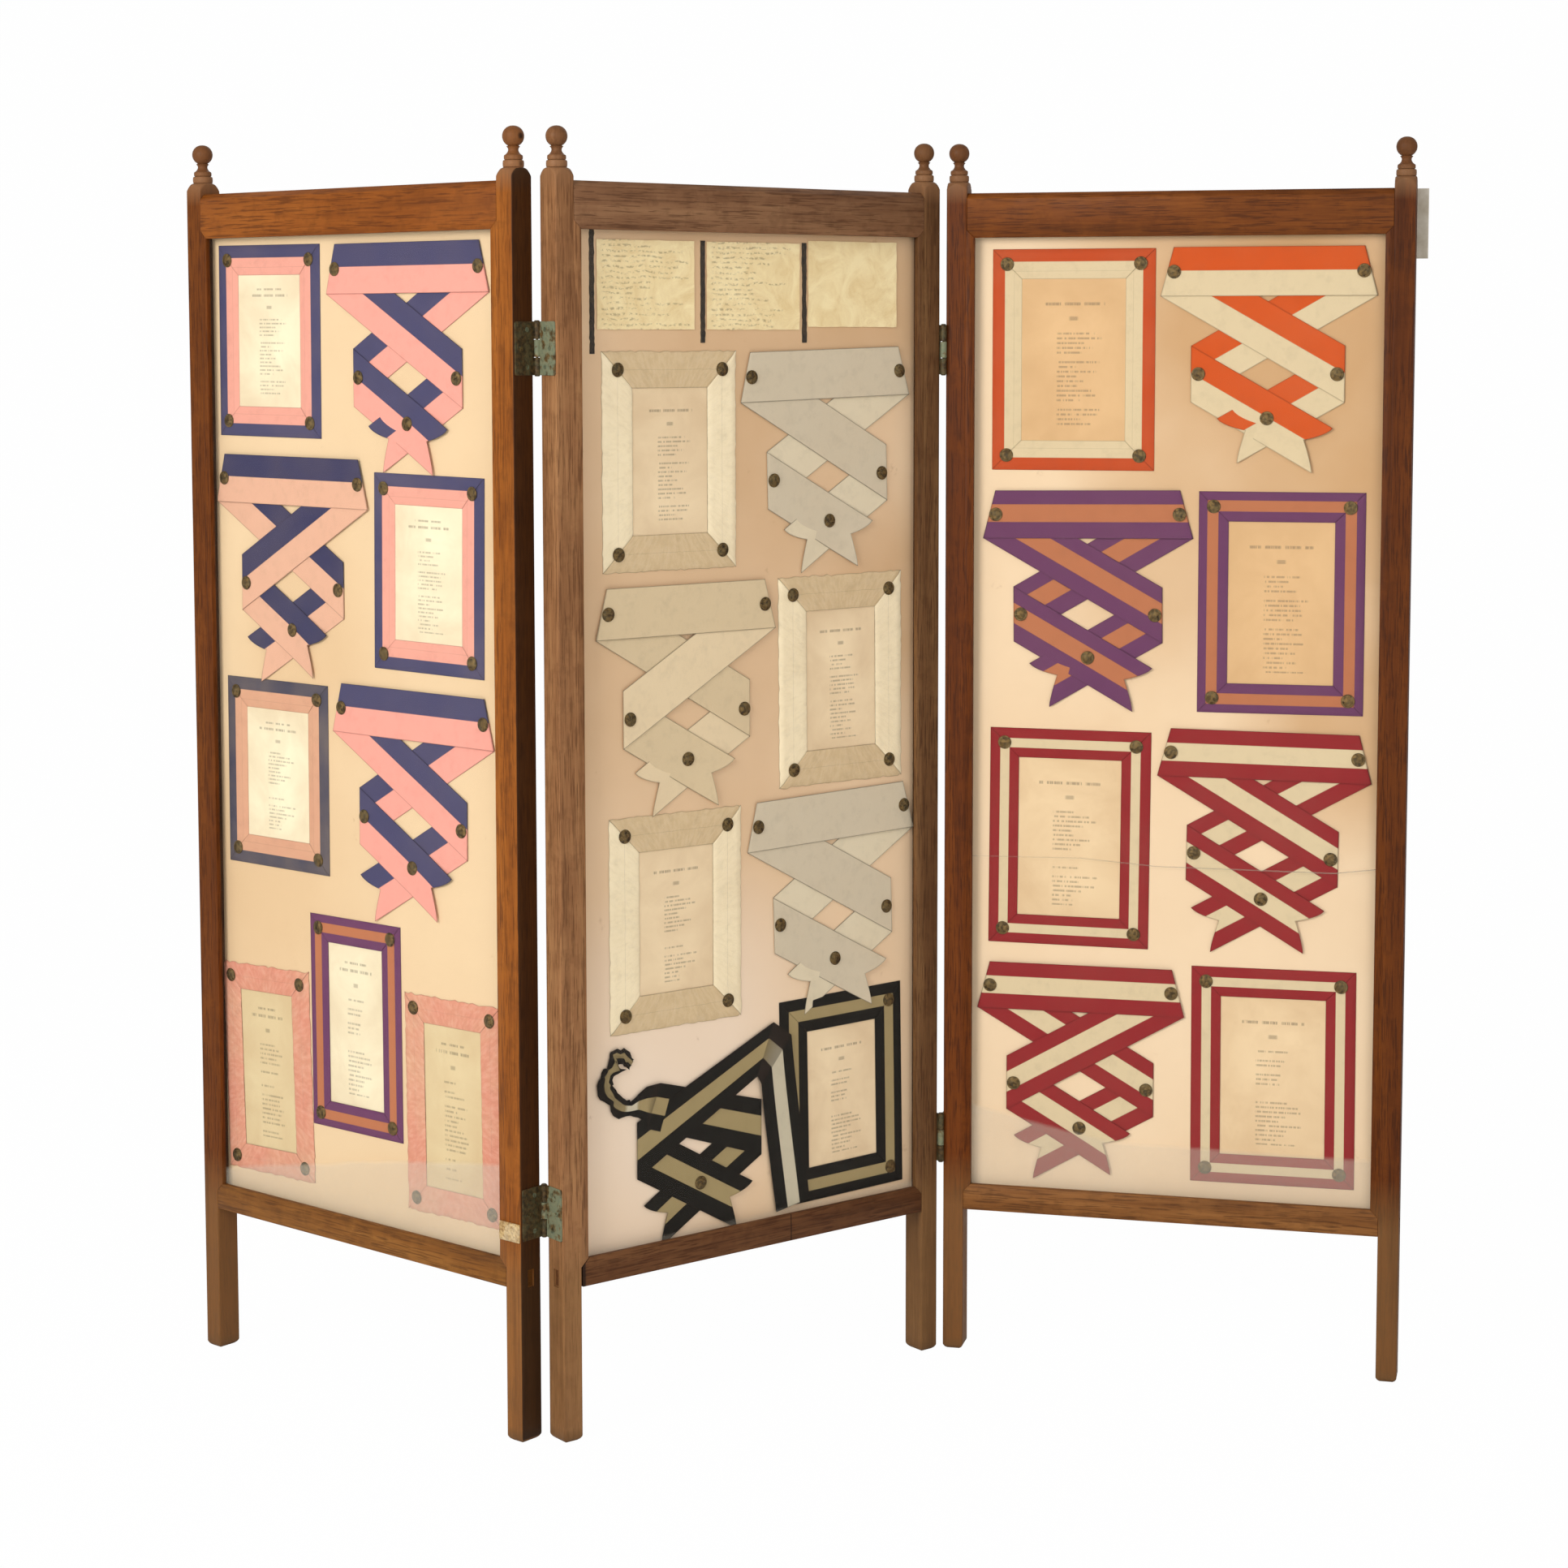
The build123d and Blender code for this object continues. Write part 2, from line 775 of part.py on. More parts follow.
def add_curl(place, half_bar):
    """Rolled-up loose end at the left of a ribbon whose bar has dropped."""
    middle = (place[0] - half_bar + end_fold_run, place[1])
    depth = layer_face(1) - ribbon_thickness - ribbon_layer_gap - curl_radius
    tilt = radians(curl_tilt)
    run = (sin(tilt), 0, cos(tilt))
    foot = (middle[0] - run[0] * curl_length / 2, depth, middle[1] - run[2] * curl_length / 2)
    with BuildSketch(Plane(origin=foot, x_dir=(0, 1, 0), z_dir=run)) as roll:
        RegularPolygon(curl_radius, curl_sides)
        RegularPolygon(curl_radius - ribbon_thickness, curl_sides, mode=Mode.SUBTRACT)
    extrude(roll.sketch, amount=curl_length)


# Buttons


def card_buttons(cards, missing_left=()):
    """Places of the buttons at the corners of the cards' borders."""
    places = []
    for number, (card, place) in enumerate(cards):
        x, z = on_mount(place)
        across = card.half_width - card.border / 2
        up = card.half_height - card.border / 2
        sides = (1,) if number in missing_left else (-1, 1)
        places += [(x + side * across, z + rise * up) for side in sides for rise in (-1, 1)]
    return places


def ribbon_buttons(ribbons):
    """Places of the folded ribbons' buttons and the layer under each."""
    places = []
    for ribbon in ribbons:
        x, z = on_mount(ribbon.place)
        drop = limb_drop(ribbon.half_bar)
        crossing = (x, z + band_height_on_slope / 2 - drop - fold_half_width * tan(slope))
        places.append((crossing, 1))
        if ribbon.fallen:
            continue
        over, bar = (2, 3) if ribbon.rising_over else (1, 2)
        bar_reach = ribbon.half_bar - end_fold_run / 2 - button_radius
        fold_reach = fold_half_width - button_radius - fold_width
        fold_level = z + band_height_on_slope / 2 - drop
        places += [((x + side * bar_reach, z + ribbon_width / 2), bar) for side in (-1, 1)]
        places += [((x - fold_reach, fold_level), over), ((x + fold_reach, fold_level), 1)]
    return places


def make_buttons(cards, ribbons, missing_left=()):
    """Every button of a leaf, seated on the ribbon below it."""
    seats = {mount_face - ribbon_thickness: card_buttons(cards, missing_left)}
    for place, layer in ribbon_buttons(ribbons):
        seats.setdefault(layer_face(layer) - ribbon_thickness, []).append(place)
    with BuildPart() as buttons:
        for depth, places in seats.items():
            with BuildSketch(front_view(depth)):
                with Locations(*places):
                    RegularPolygon(button_radius, button_sides)
            extrude(amount=button_height, taper=button_taper)
    return buttons.part


# Notes and black bands at the head of the middle mount

note_places = [(0.212, 0.941), (0.514, 0.941), (0.806, 0.944)]
band_places = [(0.066, 0.935), (0.370, 0.935), (0.662, 0.935)]
band_height_shares = [first_band_height_share, band_height_share, band_height_share]


def make_notes():
    """Three written notes."""
    with BuildPart() as notes:
        with BuildSketch(front_view(mount_face)):
            for place in note_places:
                with Locations(on_mount(place)):
                    Rectangle(display_width * note_width_share, display_width * note_height_share)
        extrude(amount=card_thickness)
    return notes.part


def make_bands():
    """A narrow black band beside each note, the first one longer."""
    with BuildPart() as bands:
        with BuildSketch(front_view(mount_face)):
            for place, height_share in zip(band_places, band_height_shares):
                with Locations(on_mount(place)):
                    Rectangle(display_width * band_width_share, display_width * height_share)
        extrude(amount=ribbon_thickness)
    return bands.part


# Odd pieces of single leaves


def make_clip():
    """Small plate on the front of the left leaf's right post, over the edge of the glass."""
    with BuildPart() as clip:
        with BuildSketch(front_view(0)):
            with Locations((leaf_width - arris - clip_width / 2, leg_height + clip_rise)):
                Rectangle(clip_width, clip_height)
        extrude(amount=clip_thickness)
        chamfer(clip.faces().sort_by(Axis.Y)[0].edges(), clip_thickness / 3)
    return clip.part


tag_left = leaf_width + tag_overhang - tag_width
tag_hole = (tag_left + tag_width / 2, rail_top - tag_eyelet_radius * 3)


def make_tag():
    """Blank paper tag that hangs flat on the back of the right leaf's right post."""
    with BuildPart() as tag:
        with BuildSketch(front_view(post_depth + tag_thickness)):
            block(tag_left, tag_left + tag_width, rail_top - tag_height, rail_top)
            with Locations(tag_hole):
                RegularPolygon(tack_shank_radius + screw_fit, tack_sides, mode=Mode.SUBTRACT)
        extrude(amount=tag_thickness)
    return tag.part


def make_tack():
    """Round-headed tack through the tag's hole into the post."""
    with BuildPart() as tack:
        with BuildSketch(front_view(post_depth + tag_thickness + tack_head_height)):
            with Locations(tag_hole):
                RegularPolygon(tack_head_radius, tack_sides)
        extrude(amount=tack_head_height)
        with BuildSketch(front_view(post_depth + tag_thickness)):
            with Locations(tag_hole):
                RegularPolygon(tack_shank_radius, tack_sides)
        extrude(amount=tack_length)
    return tack.part


def drill_tack_hole(post):
    """The post with the hole that the tag's tack is driven into."""
    with BuildPart() as drilled:
        add(post)
        with BuildSketch(front_view(post_depth + cut_overrun)):
            with Locations(tag_hole):
                RegularPolygon(tack_shank_radius + screw_fit, tack_sides)
        extrude(amount=tack_length + cut_overrun, mode=Mode.SUBTRACT)
    return drilled.part


# Assembly


def to_right_edge(piece):
    """The same piece on the leaf's other edge."""
    return mirror(piece, about=middle_of_leaf)


def to_front_pin(piece):
    """The same hinge piece with its pin in front of the leaf."""
    return mirror(piece, about=middle_of_depth)


plain_post = make_post()
top_rail = make_top_rail()
bottom_rail = make_bottom_rail()
glass = make_panel(glass_back, glass_thickness)
spacer_fillets = make_surround(mount_face, box_depth, fillet_width)
mount_board = make_panel(mount_back, mount_thickness)
backboard = make_panel(backboard_back, backboard_thickness)
back_beads = make_surround(back_bead_back, bead_depth, bead_width)

leaves = {
    "left_leaf": (left_leaf, left_cards, left_folded),
    "middle_leaf": (middle_leaf, middle_cards, middle_folded),
    "right_leaf": (right_leaf, right_cards, right_folded),
}
posts = {
    "left_leaf_left_post": plain_post,
    "left_leaf_right_post": to_right_edge(make_post(left_joint_levels, True)),
    "middle_leaf_left_post": make_post(left_joint_levels, True),
    "middle_leaf_right_post": to_right_edge(make_post(right_joint_levels, False)),
    "right_leaf_left_post": make_post(right_joint_levels, False),
    "right_leaf_right_post": drill_tack_hole(to_right_edge(plain_post)),
}
for name, (leaf, cards, ribbons) in leaves.items():
    missing_left = (len(cards) - 1,) if name == "middle_leaf" else ()
    opened = opened_joint if name == "middle_leaf" else 0.0
    for side in ("left", "right"):
        keep(posts[f"{name}_{side}_post"], leaf, f"{name}_{side}_post")
    keep(top_rail, leaf, f"{name}_top_rail")
    keep(make_bottom_rail(opened), leaf, f"{name}_bottom_rail")
    keep(glass, leaf, f"{name}_glass")
    keep(spacer_fillets, leaf, f"{name}_spacer_fillets")
    keep(mount_board, leaf, f"{name}_mount_board")
    keep(backboard, leaf, f"{name}_backboard")
    keep(back_beads, leaf, f"{name}_back_beads")
    keep(make_cards(cards), leaf, f"{name}_cards")
    keep(make_card_ribbons(cards), leaf, f"{name}_card_ribbons")
    keep(make_folded_ribbons(ribbons), leaf, f"{name}_folded_ribbons")
    keep(make_buttons(cards, ribbons, missing_left), leaf, f"{name}_buttons")

keep(make_notes(), middle_leaf, "middle_leaf_paper_notes")
keep(make_bands(), middle_leaf, "middle_leaf_black_bands")
keep(make_clip(), left_leaf, "left_leaf_clip")
keep(make_tag(), right_leaf, "right_leaf_tag")
keep(make_tack(), right_leaf, "right_leaf_tag_tack")

left_pins = make_hinge_pins(left_joint_levels)
right_pins = make_hinge_pins(right_joint_levels)
for number, height in enumerate(("lower", "upper")):
    left_level = left_joint_levels[number]
    right_level = right_joint_levels[number]
    left_outer = to_right_edge(make_plate(left_level, outer_knuckles))
    left_centre = make_plate(left_level, centre_knuckle)
    right_outer = to_right_edge(to_front_pin(make_plate(right_level, outer_knuckles)))
    right_centre = to_front_pin(make_plate(right_level, centre_knuckle))
    keep(left_outer, left_leaf, f"left_joint_{height}_hinge_outer_plate")
    keep(left_centre, middle_leaf, f"left_joint_{height}_hinge_inner_plate")
    keep(to_right_edge(left_pins[number]), left_leaf, f"left_joint_{height}_hinge_pin")
    keep(right_outer, middle_leaf, f"right_joint_{height}_hinge_outer_plate")
    keep(right_centre, right_leaf, f"right_joint_{height}_hinge_inner_plate")
    keep(to_right_edge(to_front_pin(right_pins[number])), middle_leaf, f"right_joint_{height}_hinge_pin")

keep(to_right_edge(make_screws(left_joint_levels, True)), left_leaf, "left_leaf_hinge_screws")
with BuildPart() as middle_screws:
    add(make_screws(left_joint_levels, True))
    add(to_right_edge(make_screws(right_joint_levels, False)))
keep(middle_screws.part, middle_leaf, "middle_leaf_hinge_screws")
keep(make_screws(right_joint_levels, False), right_leaf, "right_leaf_hinge_screws")

for joint, leaf, pin in (
    ("left joint", middle_leaf, back_pin_left),
    ("right joint", middle_leaf, front_pin_right),
):
    at = (leaf * Location((*pin, 0))).position
    print(f"{joint} pin stands at X {at.X:.3f}, Y {at.Y:.3f}")
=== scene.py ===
"""Dressed model of a three-leaf glazed oak screen with folded ribbons, cards and buttons behind its glass.

Lengths inside a leaf are millimetres in the leaf's own frame: X along the leaf from its left edge, Y from its
front face to its back, Z up from the floor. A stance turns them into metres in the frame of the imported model.
"""

from __future__ import annotations

import json
import logging
import math
import random
from dataclasses import dataclass, field
from enum import Enum
from typing import Callable, Iterable, Sequence

import bmesh
import bpy
from mathutils import Matrix, Vector, noise

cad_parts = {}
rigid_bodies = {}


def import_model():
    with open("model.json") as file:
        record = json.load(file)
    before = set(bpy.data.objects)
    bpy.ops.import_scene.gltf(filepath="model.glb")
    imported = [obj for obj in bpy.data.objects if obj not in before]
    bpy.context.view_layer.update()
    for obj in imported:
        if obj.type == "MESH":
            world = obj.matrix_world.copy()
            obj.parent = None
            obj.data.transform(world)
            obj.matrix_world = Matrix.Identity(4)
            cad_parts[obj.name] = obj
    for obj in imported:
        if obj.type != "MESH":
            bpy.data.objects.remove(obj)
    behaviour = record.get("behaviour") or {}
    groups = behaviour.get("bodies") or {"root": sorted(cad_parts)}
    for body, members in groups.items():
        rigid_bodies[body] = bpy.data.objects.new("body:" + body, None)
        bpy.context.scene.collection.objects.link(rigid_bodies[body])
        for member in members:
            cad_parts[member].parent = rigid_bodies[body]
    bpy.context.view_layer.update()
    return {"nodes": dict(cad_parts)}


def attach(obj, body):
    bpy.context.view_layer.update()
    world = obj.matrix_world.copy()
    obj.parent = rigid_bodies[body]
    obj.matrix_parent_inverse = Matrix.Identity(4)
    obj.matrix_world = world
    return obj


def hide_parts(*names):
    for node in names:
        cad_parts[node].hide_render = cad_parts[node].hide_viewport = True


log = logging.getLogger("screen")

Point = tuple[float, float]
Colour = tuple[float, float, float]

MM = 0.001
LEAF_WIDTH = 592.0
POST_WIDTH = 26.5
POST_DEPTH = 33.0
RAIL_TOP = 1520.0
LEG_HEIGHT = 190.0
TOP_RAIL_HEIGHT = 47.0
BOTTOM_RAIL_HEIGHT = 24.5
BAY_LEFT = POST_WIDTH
BAY_RIGHT = LEAF_WIDTH - POST_WIDTH
BAY_WIDTH = BAY_RIGHT - BAY_LEFT
BAY_BOTTOM = LEG_HEIGHT + BOTTOM_RAIL_HEIGHT
BAY_TOP = RAIL_TOP - TOP_RAIL_HEIGHT
BAY_HEIGHT = BAY_TOP - BAY_BOTTOM
LIP_WIDTH = 10.0
LIP_DEPTH = 7.0
GLASS_BACK = 9.5
GLASS_THICKNESS = 2.5
MOUNT_FACE = 17.5
HINGE_GAP = 2.5
HINGE_REACH = 4.5
HINGE_HEIGHT = 63.5
LEFT_JOINT_LEVELS = (282.0, 1323.0)
RIGHT_JOINT_LEVELS = (286.0, 1320.0)
RIBBON_WIDTH = 62.0


def srgb(red: float, green: float, blue: float) -> Colour:
    """Linear colour of a screen colour.

    Args:
        red: red from 0 to 255.
        green: green from 0 to 255.
        blue: blue from 0 to 255.

    Returns:
        The same colour in linear light.
    """
    shares = (value / 255 for value in (red, green, blue))
    return tuple(s / 12.92 if s <= 0.04045 else ((s + 0.055) / 1.055) ** 2.4 for s in shares)


def on_mount(place: Point) -> Point:
    """Leaf millimetres of a place given as two shares of the bay between the posts and rails."""
    return (BAY_LEFT + place[0] * BAY_WIDTH, BAY_BOTTOM + place[1] * BAY_HEIGHT)


# Stances of the leaves


@dataclass(frozen=True)
class Stance:
    """Where a leaf stands.

    Attributes:
        body: name of the leaf's body.
        turn: its turn from facing straight to the front, in degrees.
        pin: plan place of one of its hinge pins in the leaf, in millimetres.
        pin_stands: plan place of that pin on the floor, in millimetres.
    """

    body: str
    turn: float
    pin: Point
    pin_stands: Point

    def matrix(self) -> Matrix:
        """Leaf millimetres to metres on the floor."""
        stands = Matrix.Translation((self.pin_stands[0] * MM, self.pin_stands[1] * MM, 0))
        turned = Matrix.Rotation(math.radians(self.turn), 4, "Z")
        shrunk = Matrix.Scale(MM, 4)
        return stands @ turned @ shrunk @ Matrix.Translation((-self.pin[0], -self.pin[1], 0))


BACK_PIN_Y = POST_DEPTH + HINGE_REACH
LEFT_PIN_STANDS = (-316.123, -186.436)
RIGHT_PIN_STANDS = (197.001, 121.584)


class Leaf(Enum):
    """The three leaves of the screen, from the left."""

    LEFT = Stance("left_leaf", -43.0, (LEAF_WIDTH + HINGE_GAP, BACK_PIN_Y), LEFT_PIN_STANDS)
    MIDDLE = Stance("middle_leaf", 35.0, (-HINGE_GAP, BACK_PIN_Y), LEFT_PIN_STANDS)
    RIGHT = Stance("right_leaf", -17.0, (-HINGE_GAP, -HINGE_REACH), RIGHT_PIN_STANDS)

    @property
    def body(self) -> str:
        """Name of the leaf's body."""
        return self.value.body


# Shader maths


class Wire:
    """A shader socket that takes part in Python sums."""

    def __init__(self, bench: "Bench", socket: bpy.types.NodeSocket) -> None:
        """Wraps a socket of the bench's tree."""
        self.bench = bench
        self.socket = socket

    def __add__(self, other: "Wire | float") -> "Wire":
        """Sum."""
        return self.bench.sum("ADD", self, other)

    __radd__ = __add__

    def __sub__(self, other: "Wire | float") -> "Wire":
        """Difference."""
        return self.bench.sum("SUBTRACT", self, other)

    def __rsub__(self, other: "Wire | float") -> "Wire":
        """Difference from a number."""
        return self.bench.sum("SUBTRACT", other, self)

    def __mul__(self, other: "Wire | float") -> "Wire":
        """Product."""
        return self.bench.sum("MULTIPLY", self, other)

    __rmul__ = __mul__

    def __truediv__(self, other: "Wire | float") -> "Wire":
        """Quotient."""
        return self.bench.sum("DIVIDE", self, other)

    def above(self, level: "Wire | float", softness: float = 0.0) -> "Wire":
        """One where this is above a level and nothing below it, with a soft step if asked."""
        if softness <= 0:
            return self.bench.sum("GREATER_THAN", self, level)
        return self.bench.sum("ADD", (self - level) / softness, 0.5, clamp=True)

    def floor(self) -> "Wire":
        """Whole part."""
        return self.bench.sum("FLOOR", self, 0.0)

    def fraction(self) -> "Wire":
        """Part after the point."""
        return self.bench.sum("FRACT", self, 0.0)

    def held(self) -> "Wire":
        """The same, kept between nothing and one."""
        return self.bench.sum("ADD", self, 0.0, clamp=True)


class Bench:
    """The node tree of one finish, on which its nodes are laid out."""

    def __init__(self, name: str) -> None:
        """Starts an empty material with one shader."""
        self.material = bpy.data.materials.new(name)
        self.material.use_nodes = True
        self.tree = self.material.node_tree
        self.tree.nodes.clear()
        self.output = self.tree.nodes.new("ShaderNodeOutputMaterial")
        self.shader = self.tree.nodes.new("ShaderNodeBsdfPrincipled")
        self.tree.links.new(self.shader.outputs[0], self.output.inputs[0])

    def node(self, kind: str, settings: dict | None = None, sockets: dict | None = None) -> bpy.types.Node:
        """Adds a node.

        Args:
            kind: the node's type.
            settings: its properties, set first; "stops" is a ramp's list of (place, colour).
            sockets: values or wires of its input sockets, by name or number.

        Returns:
            The new node.
        """
        made = self.tree.nodes.new(kind)
        for key, value in (settings or {}).items():
            if key == "stops":
                self.set_stops(made, value)
            else:
                setattr(made, key, value)
        for key, value in (sockets or {}).items():
            self.feed(made.inputs[key], value)
        return made

    @staticmethod
    def set_stops(ramp: bpy.types.Node, stops: Sequence[tuple[float, Colour]]) -> None:
        """Gives a colour ramp its stops."""
        elements = ramp.color_ramp.elements
        while len(elements) > 1:
            elements.remove(elements[0])
        elements[0].position = stops[0][0]
        elements[0].color = (*stops[0][1], 1)
        for place, colour in stops[1:]:
            elements.new(place).color = (*colour, 1)

    def feed(self, socket: bpy.types.NodeSocket, value: "Wire | float | Sequence[float]") -> None:
        """Links a wire to a socket, or sets the socket's own value."""
        if isinstance(value, Wire):
            self.tree.links.new(value.socket, socket)
        elif socket.type == "RGBA" and len(value) == 3:
            socket.default_value = (*value, 1)
        else:
            socket.default_value = value

    def wire(self, node: bpy.types.Node, output: str | int = 0) -> Wire:
        """One of a node's outputs as a wire."""
        return Wire(self, node.outputs[output])

    def sum(self, operation: str, first: "Wire | float", second: "Wire | float", clamp: bool = False) -> Wire:
        """Math node on two values."""
        settings = {"operation": operation, "use_clamp": clamp}
        return self.wire(self.node("ShaderNodeMath", settings, {0: first, 1: second}))

    def mix(self, share: "Wire | float", first: "Wire | Colour", second: "Wire | Colour", blend: str = "MIX") -> Wire:
        """Colour mix, from the first at no share to the second at one."""
        mixed = self.node("ShaderNodeMix", {"data_type": "RGBA", "blend_type": blend})
        self.feed(mixed.inputs[0], share)
        self.feed(mixed.inputs[6], first)
        self.feed(mixed.inputs[7], second)
        return self.wire(mixed, 2)

    def ramp(self, value: Wire, stops: Sequence[tuple[float, Colour]]) -> Wire:
        """Colour ramp over a value."""
        return self.wire(self.node("ShaderNodeValToRGB", {"stops": stops}, {0: value}))

    def place(self, source: str = "Object", turn: float = 0.0, scale: Sequence[float] = (1, 1, 1)) -> Wire:
        """Coordinates of a point, turned about the upright and then scaled.

        Args:
            source: Object, or UV for a pattern that follows the surface.
            turn: turn about Z in degrees.
            scale: scale on each axis.

        Returns:
            The mapped coordinates.
        """
        coordinates = self.wire(self.node("ShaderNodeTexCoord"), source)
        turned = self.wire(self.node("ShaderNodeMapping", None, {0: coordinates, 2: (0, 0, math.radians(turn))}))
        return self.wire(self.node("ShaderNodeMapping", None, {0: turned, 3: scale}))

    def leaf_place(self, stance: Stance) -> list[Wire]:
        """Metres along, into and up a leaf, measured as in the leaf's own frame."""
        turn = Matrix.Rotation(math.radians(-stance.turn), 3, "Z")
        shift = Vector((*stance.pin, 0)) - turn @ Vector((*stance.pin_stands, 0))
        coordinates = self.wire(self.node("ShaderNodeTexCoord"), "Object")
        sockets = {0: coordinates, 1: tuple(shift * MM), 2: (0, 0, math.radians(-stance.turn))}
        return self.axes(self.wire(self.node("ShaderNodeMapping", None, sockets)))

    def curve(self, value: Wire, points: Sequence[Point]) -> Wire:
        """A curve through points whose both numbers run from 0 to 1."""
        made = self.node("ShaderNodeFloatCurve", None, {"Value": value})
        line = made.mapping.curves[0]
        line.points[0].location, line.points[1].location = points[0], points[-1]
        for point in points[1:-1]:
            line.points.new(*point)
        for point in line.points:
            point.handle_type = "VECTOR"
        made.mapping.update()
        return self.wire(made)

    def near(self, spot: Vector, reach: float) -> Wire:
        """One at a spot in metres, fading to nothing at a reach from it."""
        settings = {"operation": "DISTANCE"}
        far = self.wire(self.node("ShaderNodeVectorMath", settings, {0: self.place(), 1: tuple(spot)}), "Value")
        return (1 - far / reach).held()

    def clouds(self, place: Wire, scale: float, detail: float = 3.0, roughness: float = 0.5, warp: float = 0.0) -> Wire:
        """Noise value at a place."""
        sockets = {"Vector": place, "Scale": scale, "Detail": detail, "Roughness": roughness, "Distortion": warp}
        return self.wire(self.node("ShaderNodeTexNoise", None, sockets))

    def axes(self, place: Wire) -> list[Wire]:
        """The three parts of a vector."""
        parts = self.node("ShaderNodeSeparateXYZ", None, {0: place})
        return [self.wire(parts, number) for number in range(3)]

    def chance(self, first: "Wire | float", second: "Wire | float" = 0.0) -> Wire:
        """A random number of a pair of whole numbers."""
        pair = self.wire(self.node("ShaderNodeCombineXYZ", None, {0: first, 1: second}))
        return self.wire(self.node("ShaderNodeTexWhiteNoise", {"noise_dimensions": "2D"}, {"Vector": pair}))

    def bump(self, height: Wire, strength: float, depth: float) -> Wire:
        """Surface relief from a height."""
        return self.wire(self.node("ShaderNodeBump", None, {"Height": height, "Strength": strength, "Distance": depth}))

    def finish(self, **sockets: "Wire | float | Sequence[float]") -> bpy.types.Material:
        """Feeds the shader's sockets, named with underscores for spaces, and gives back the material."""
        for key, value in sockets.items():
            self.feed(self.shader.inputs[key.replace("_", " ")], value)
        return self.material


# Finishes


HANDLED_DARK, HANDLED_LIGHT = srgb(68, 42, 25), srgb(116, 76, 46)
# Painted highlight on the shoulder of each post top, where its upward faces catch the light.
SHOULDER_HIGHLIGHT = srgb(176, 132, 94)
LEG_DARK, LEG_LIGHT = srgb(86, 60, 36), srgb(134, 97, 58)


@dataclass(frozen=True)
class Wood:
    """Varnished or plain wood whose grain runs one way.

    Attributes:
        name: the finish's name.
        turn: turn of the leaf that it is on, in degrees.
        upright: whether the grain runs up rather than along the leaf.
        dark: colour of the pores and late growth.
        middle: colour between.
        light: colour of the early growth.
        gloss: roughness of its surface.
        grimy: whether dirt has gathered near the floor, the legs have faded, the top has darkened with handling and its
            shoulder takes a painted highlight.
        stance: how its leaf stands, for wood with opened joints and for painted shade on the leaf's right edge.
        gaps: places along the leaf and half widths of opened joints and splits, in millimetres, painted dark as the
            shade inside them.
        soiled_edge: how dark the painted shade on the side face at the leaf's right edge is.
    """

    name: str
    turn: float
    upright: bool = True
    dark: Colour = srgb(92, 50, 20)
    middle: Colour = srgb(146, 84, 38)
    light: Colour = srgb(180, 110, 54)
    gloss: float = 0.5
    grimy: bool = True
    stance: Stance | None = None
    gaps: tuple[Point, ...] = ()
    soiled_edge: float = 0.0

    def material(self) -> bpy.types.Material:
        """The finish's material."""
        bench = Bench(self.name)
        stretch = (1, 1, 0.045) if self.upright else (0.045, 1, 1)
        plain = bench.place(turn=-self.turn)
        grain = bench.place(turn=-self.turn, scale=stretch)
        bands = bench.clouds(grain, 34, 4, 0.55, 0.6)
        fibres = bench.clouds(grain, 190, 5, 0.65)
        pores = bench.clouds(grain, 620, 2, 0.5)
        patches = bench.clouds(plain, 2.6, 3, 0.55)
        tone = bands * 0.46 + fibres * 0.34 + patches * 0.2
        colour = bench.ramp(tone, [(0.3, self.dark), (0.49, self.middle), (0.68, self.light)])
        open_pores = (0.43 - pores).above(0.0, 0.08) * 0.7
        colour = bench.mix(open_pores, colour, self.dark)
        wear = bench.clouds(plain, 17, 4, 0.6)
        colour = bench.mix(wear.above(0.56, 0.12) * 0.2, colour, self.light)
        smudges = bench.clouds(plain, 48, 4, 0.65)
        colour = bench.mix(smudges.above(0.58, 0.1) * 0.22, colour, self.dark)
        if self.grimy:
            height = bench.axes(plain)[2]
            dirt = (0.012 - height + wear * 0.012).above(0.006, 0.01)
            colour = bench.mix(dirt * 0.6, colour, srgb(60, 42, 28))
            faded = (0.23 - height).above(0.0, 0.07)
            colour = bench.mix(faded * 0.55, colour, bench.mix(tone.above(0.35, 0.3), LEG_DARK, LEG_LIGHT))
            handled = height.above(RAIL_TOP * MM, 0.03)
            colour = bench.mix(handled * 0.75, colour, bench.mix(tone.above(0.35, 0.3), HANDLED_DARK, HANDLED_LIGHT))
            # Painted highlight on the shoulder just over the rail.
            shoulder = handled * (RAIL_TOP * MM + 0.026 - height).above(0.0, 0.01)
            colour = bench.mix(shoulder * 0.3, colour, SHOULDER_HIGHLIGHT)
        if self.stance:
            along = bench.leaf_place(self.stance)[0]
            # Painted shade on the side face at the leaf's right edge, which stands in the hinge gap.
            dirt_and_shade = along.above((LEAF_WIDTH - 0.8) * MM, 0.0008) * self.soiled_edge
            colour = bench.mix(dirt_and_shade, colour, srgb(22, 12, 6))
            along = along + (wear - 0.5) * 0.002
            # Painted shade: opened joints and splits are darkened as the shade that falls inside them.
            for middle, half in self.gaps:
                opened = (1 - bench.sum("ABSOLUTE", along - middle * MM, 0.0) / (half * MM)).above(0.3, 0.5)
                colour = bench.mix(opened * 0.85, colour, srgb(26, 16, 10))
        relief = fibres * 0.6 + pores * 0.4
        return bench.finish(
            Base_Color=colour,
            Roughness=self.gloss + (wear - 0.5) * 0.35,
            Normal=bench.bump(relief, 0.22, 0.0006),
            Specular_IOR_Level=0.14,
        )


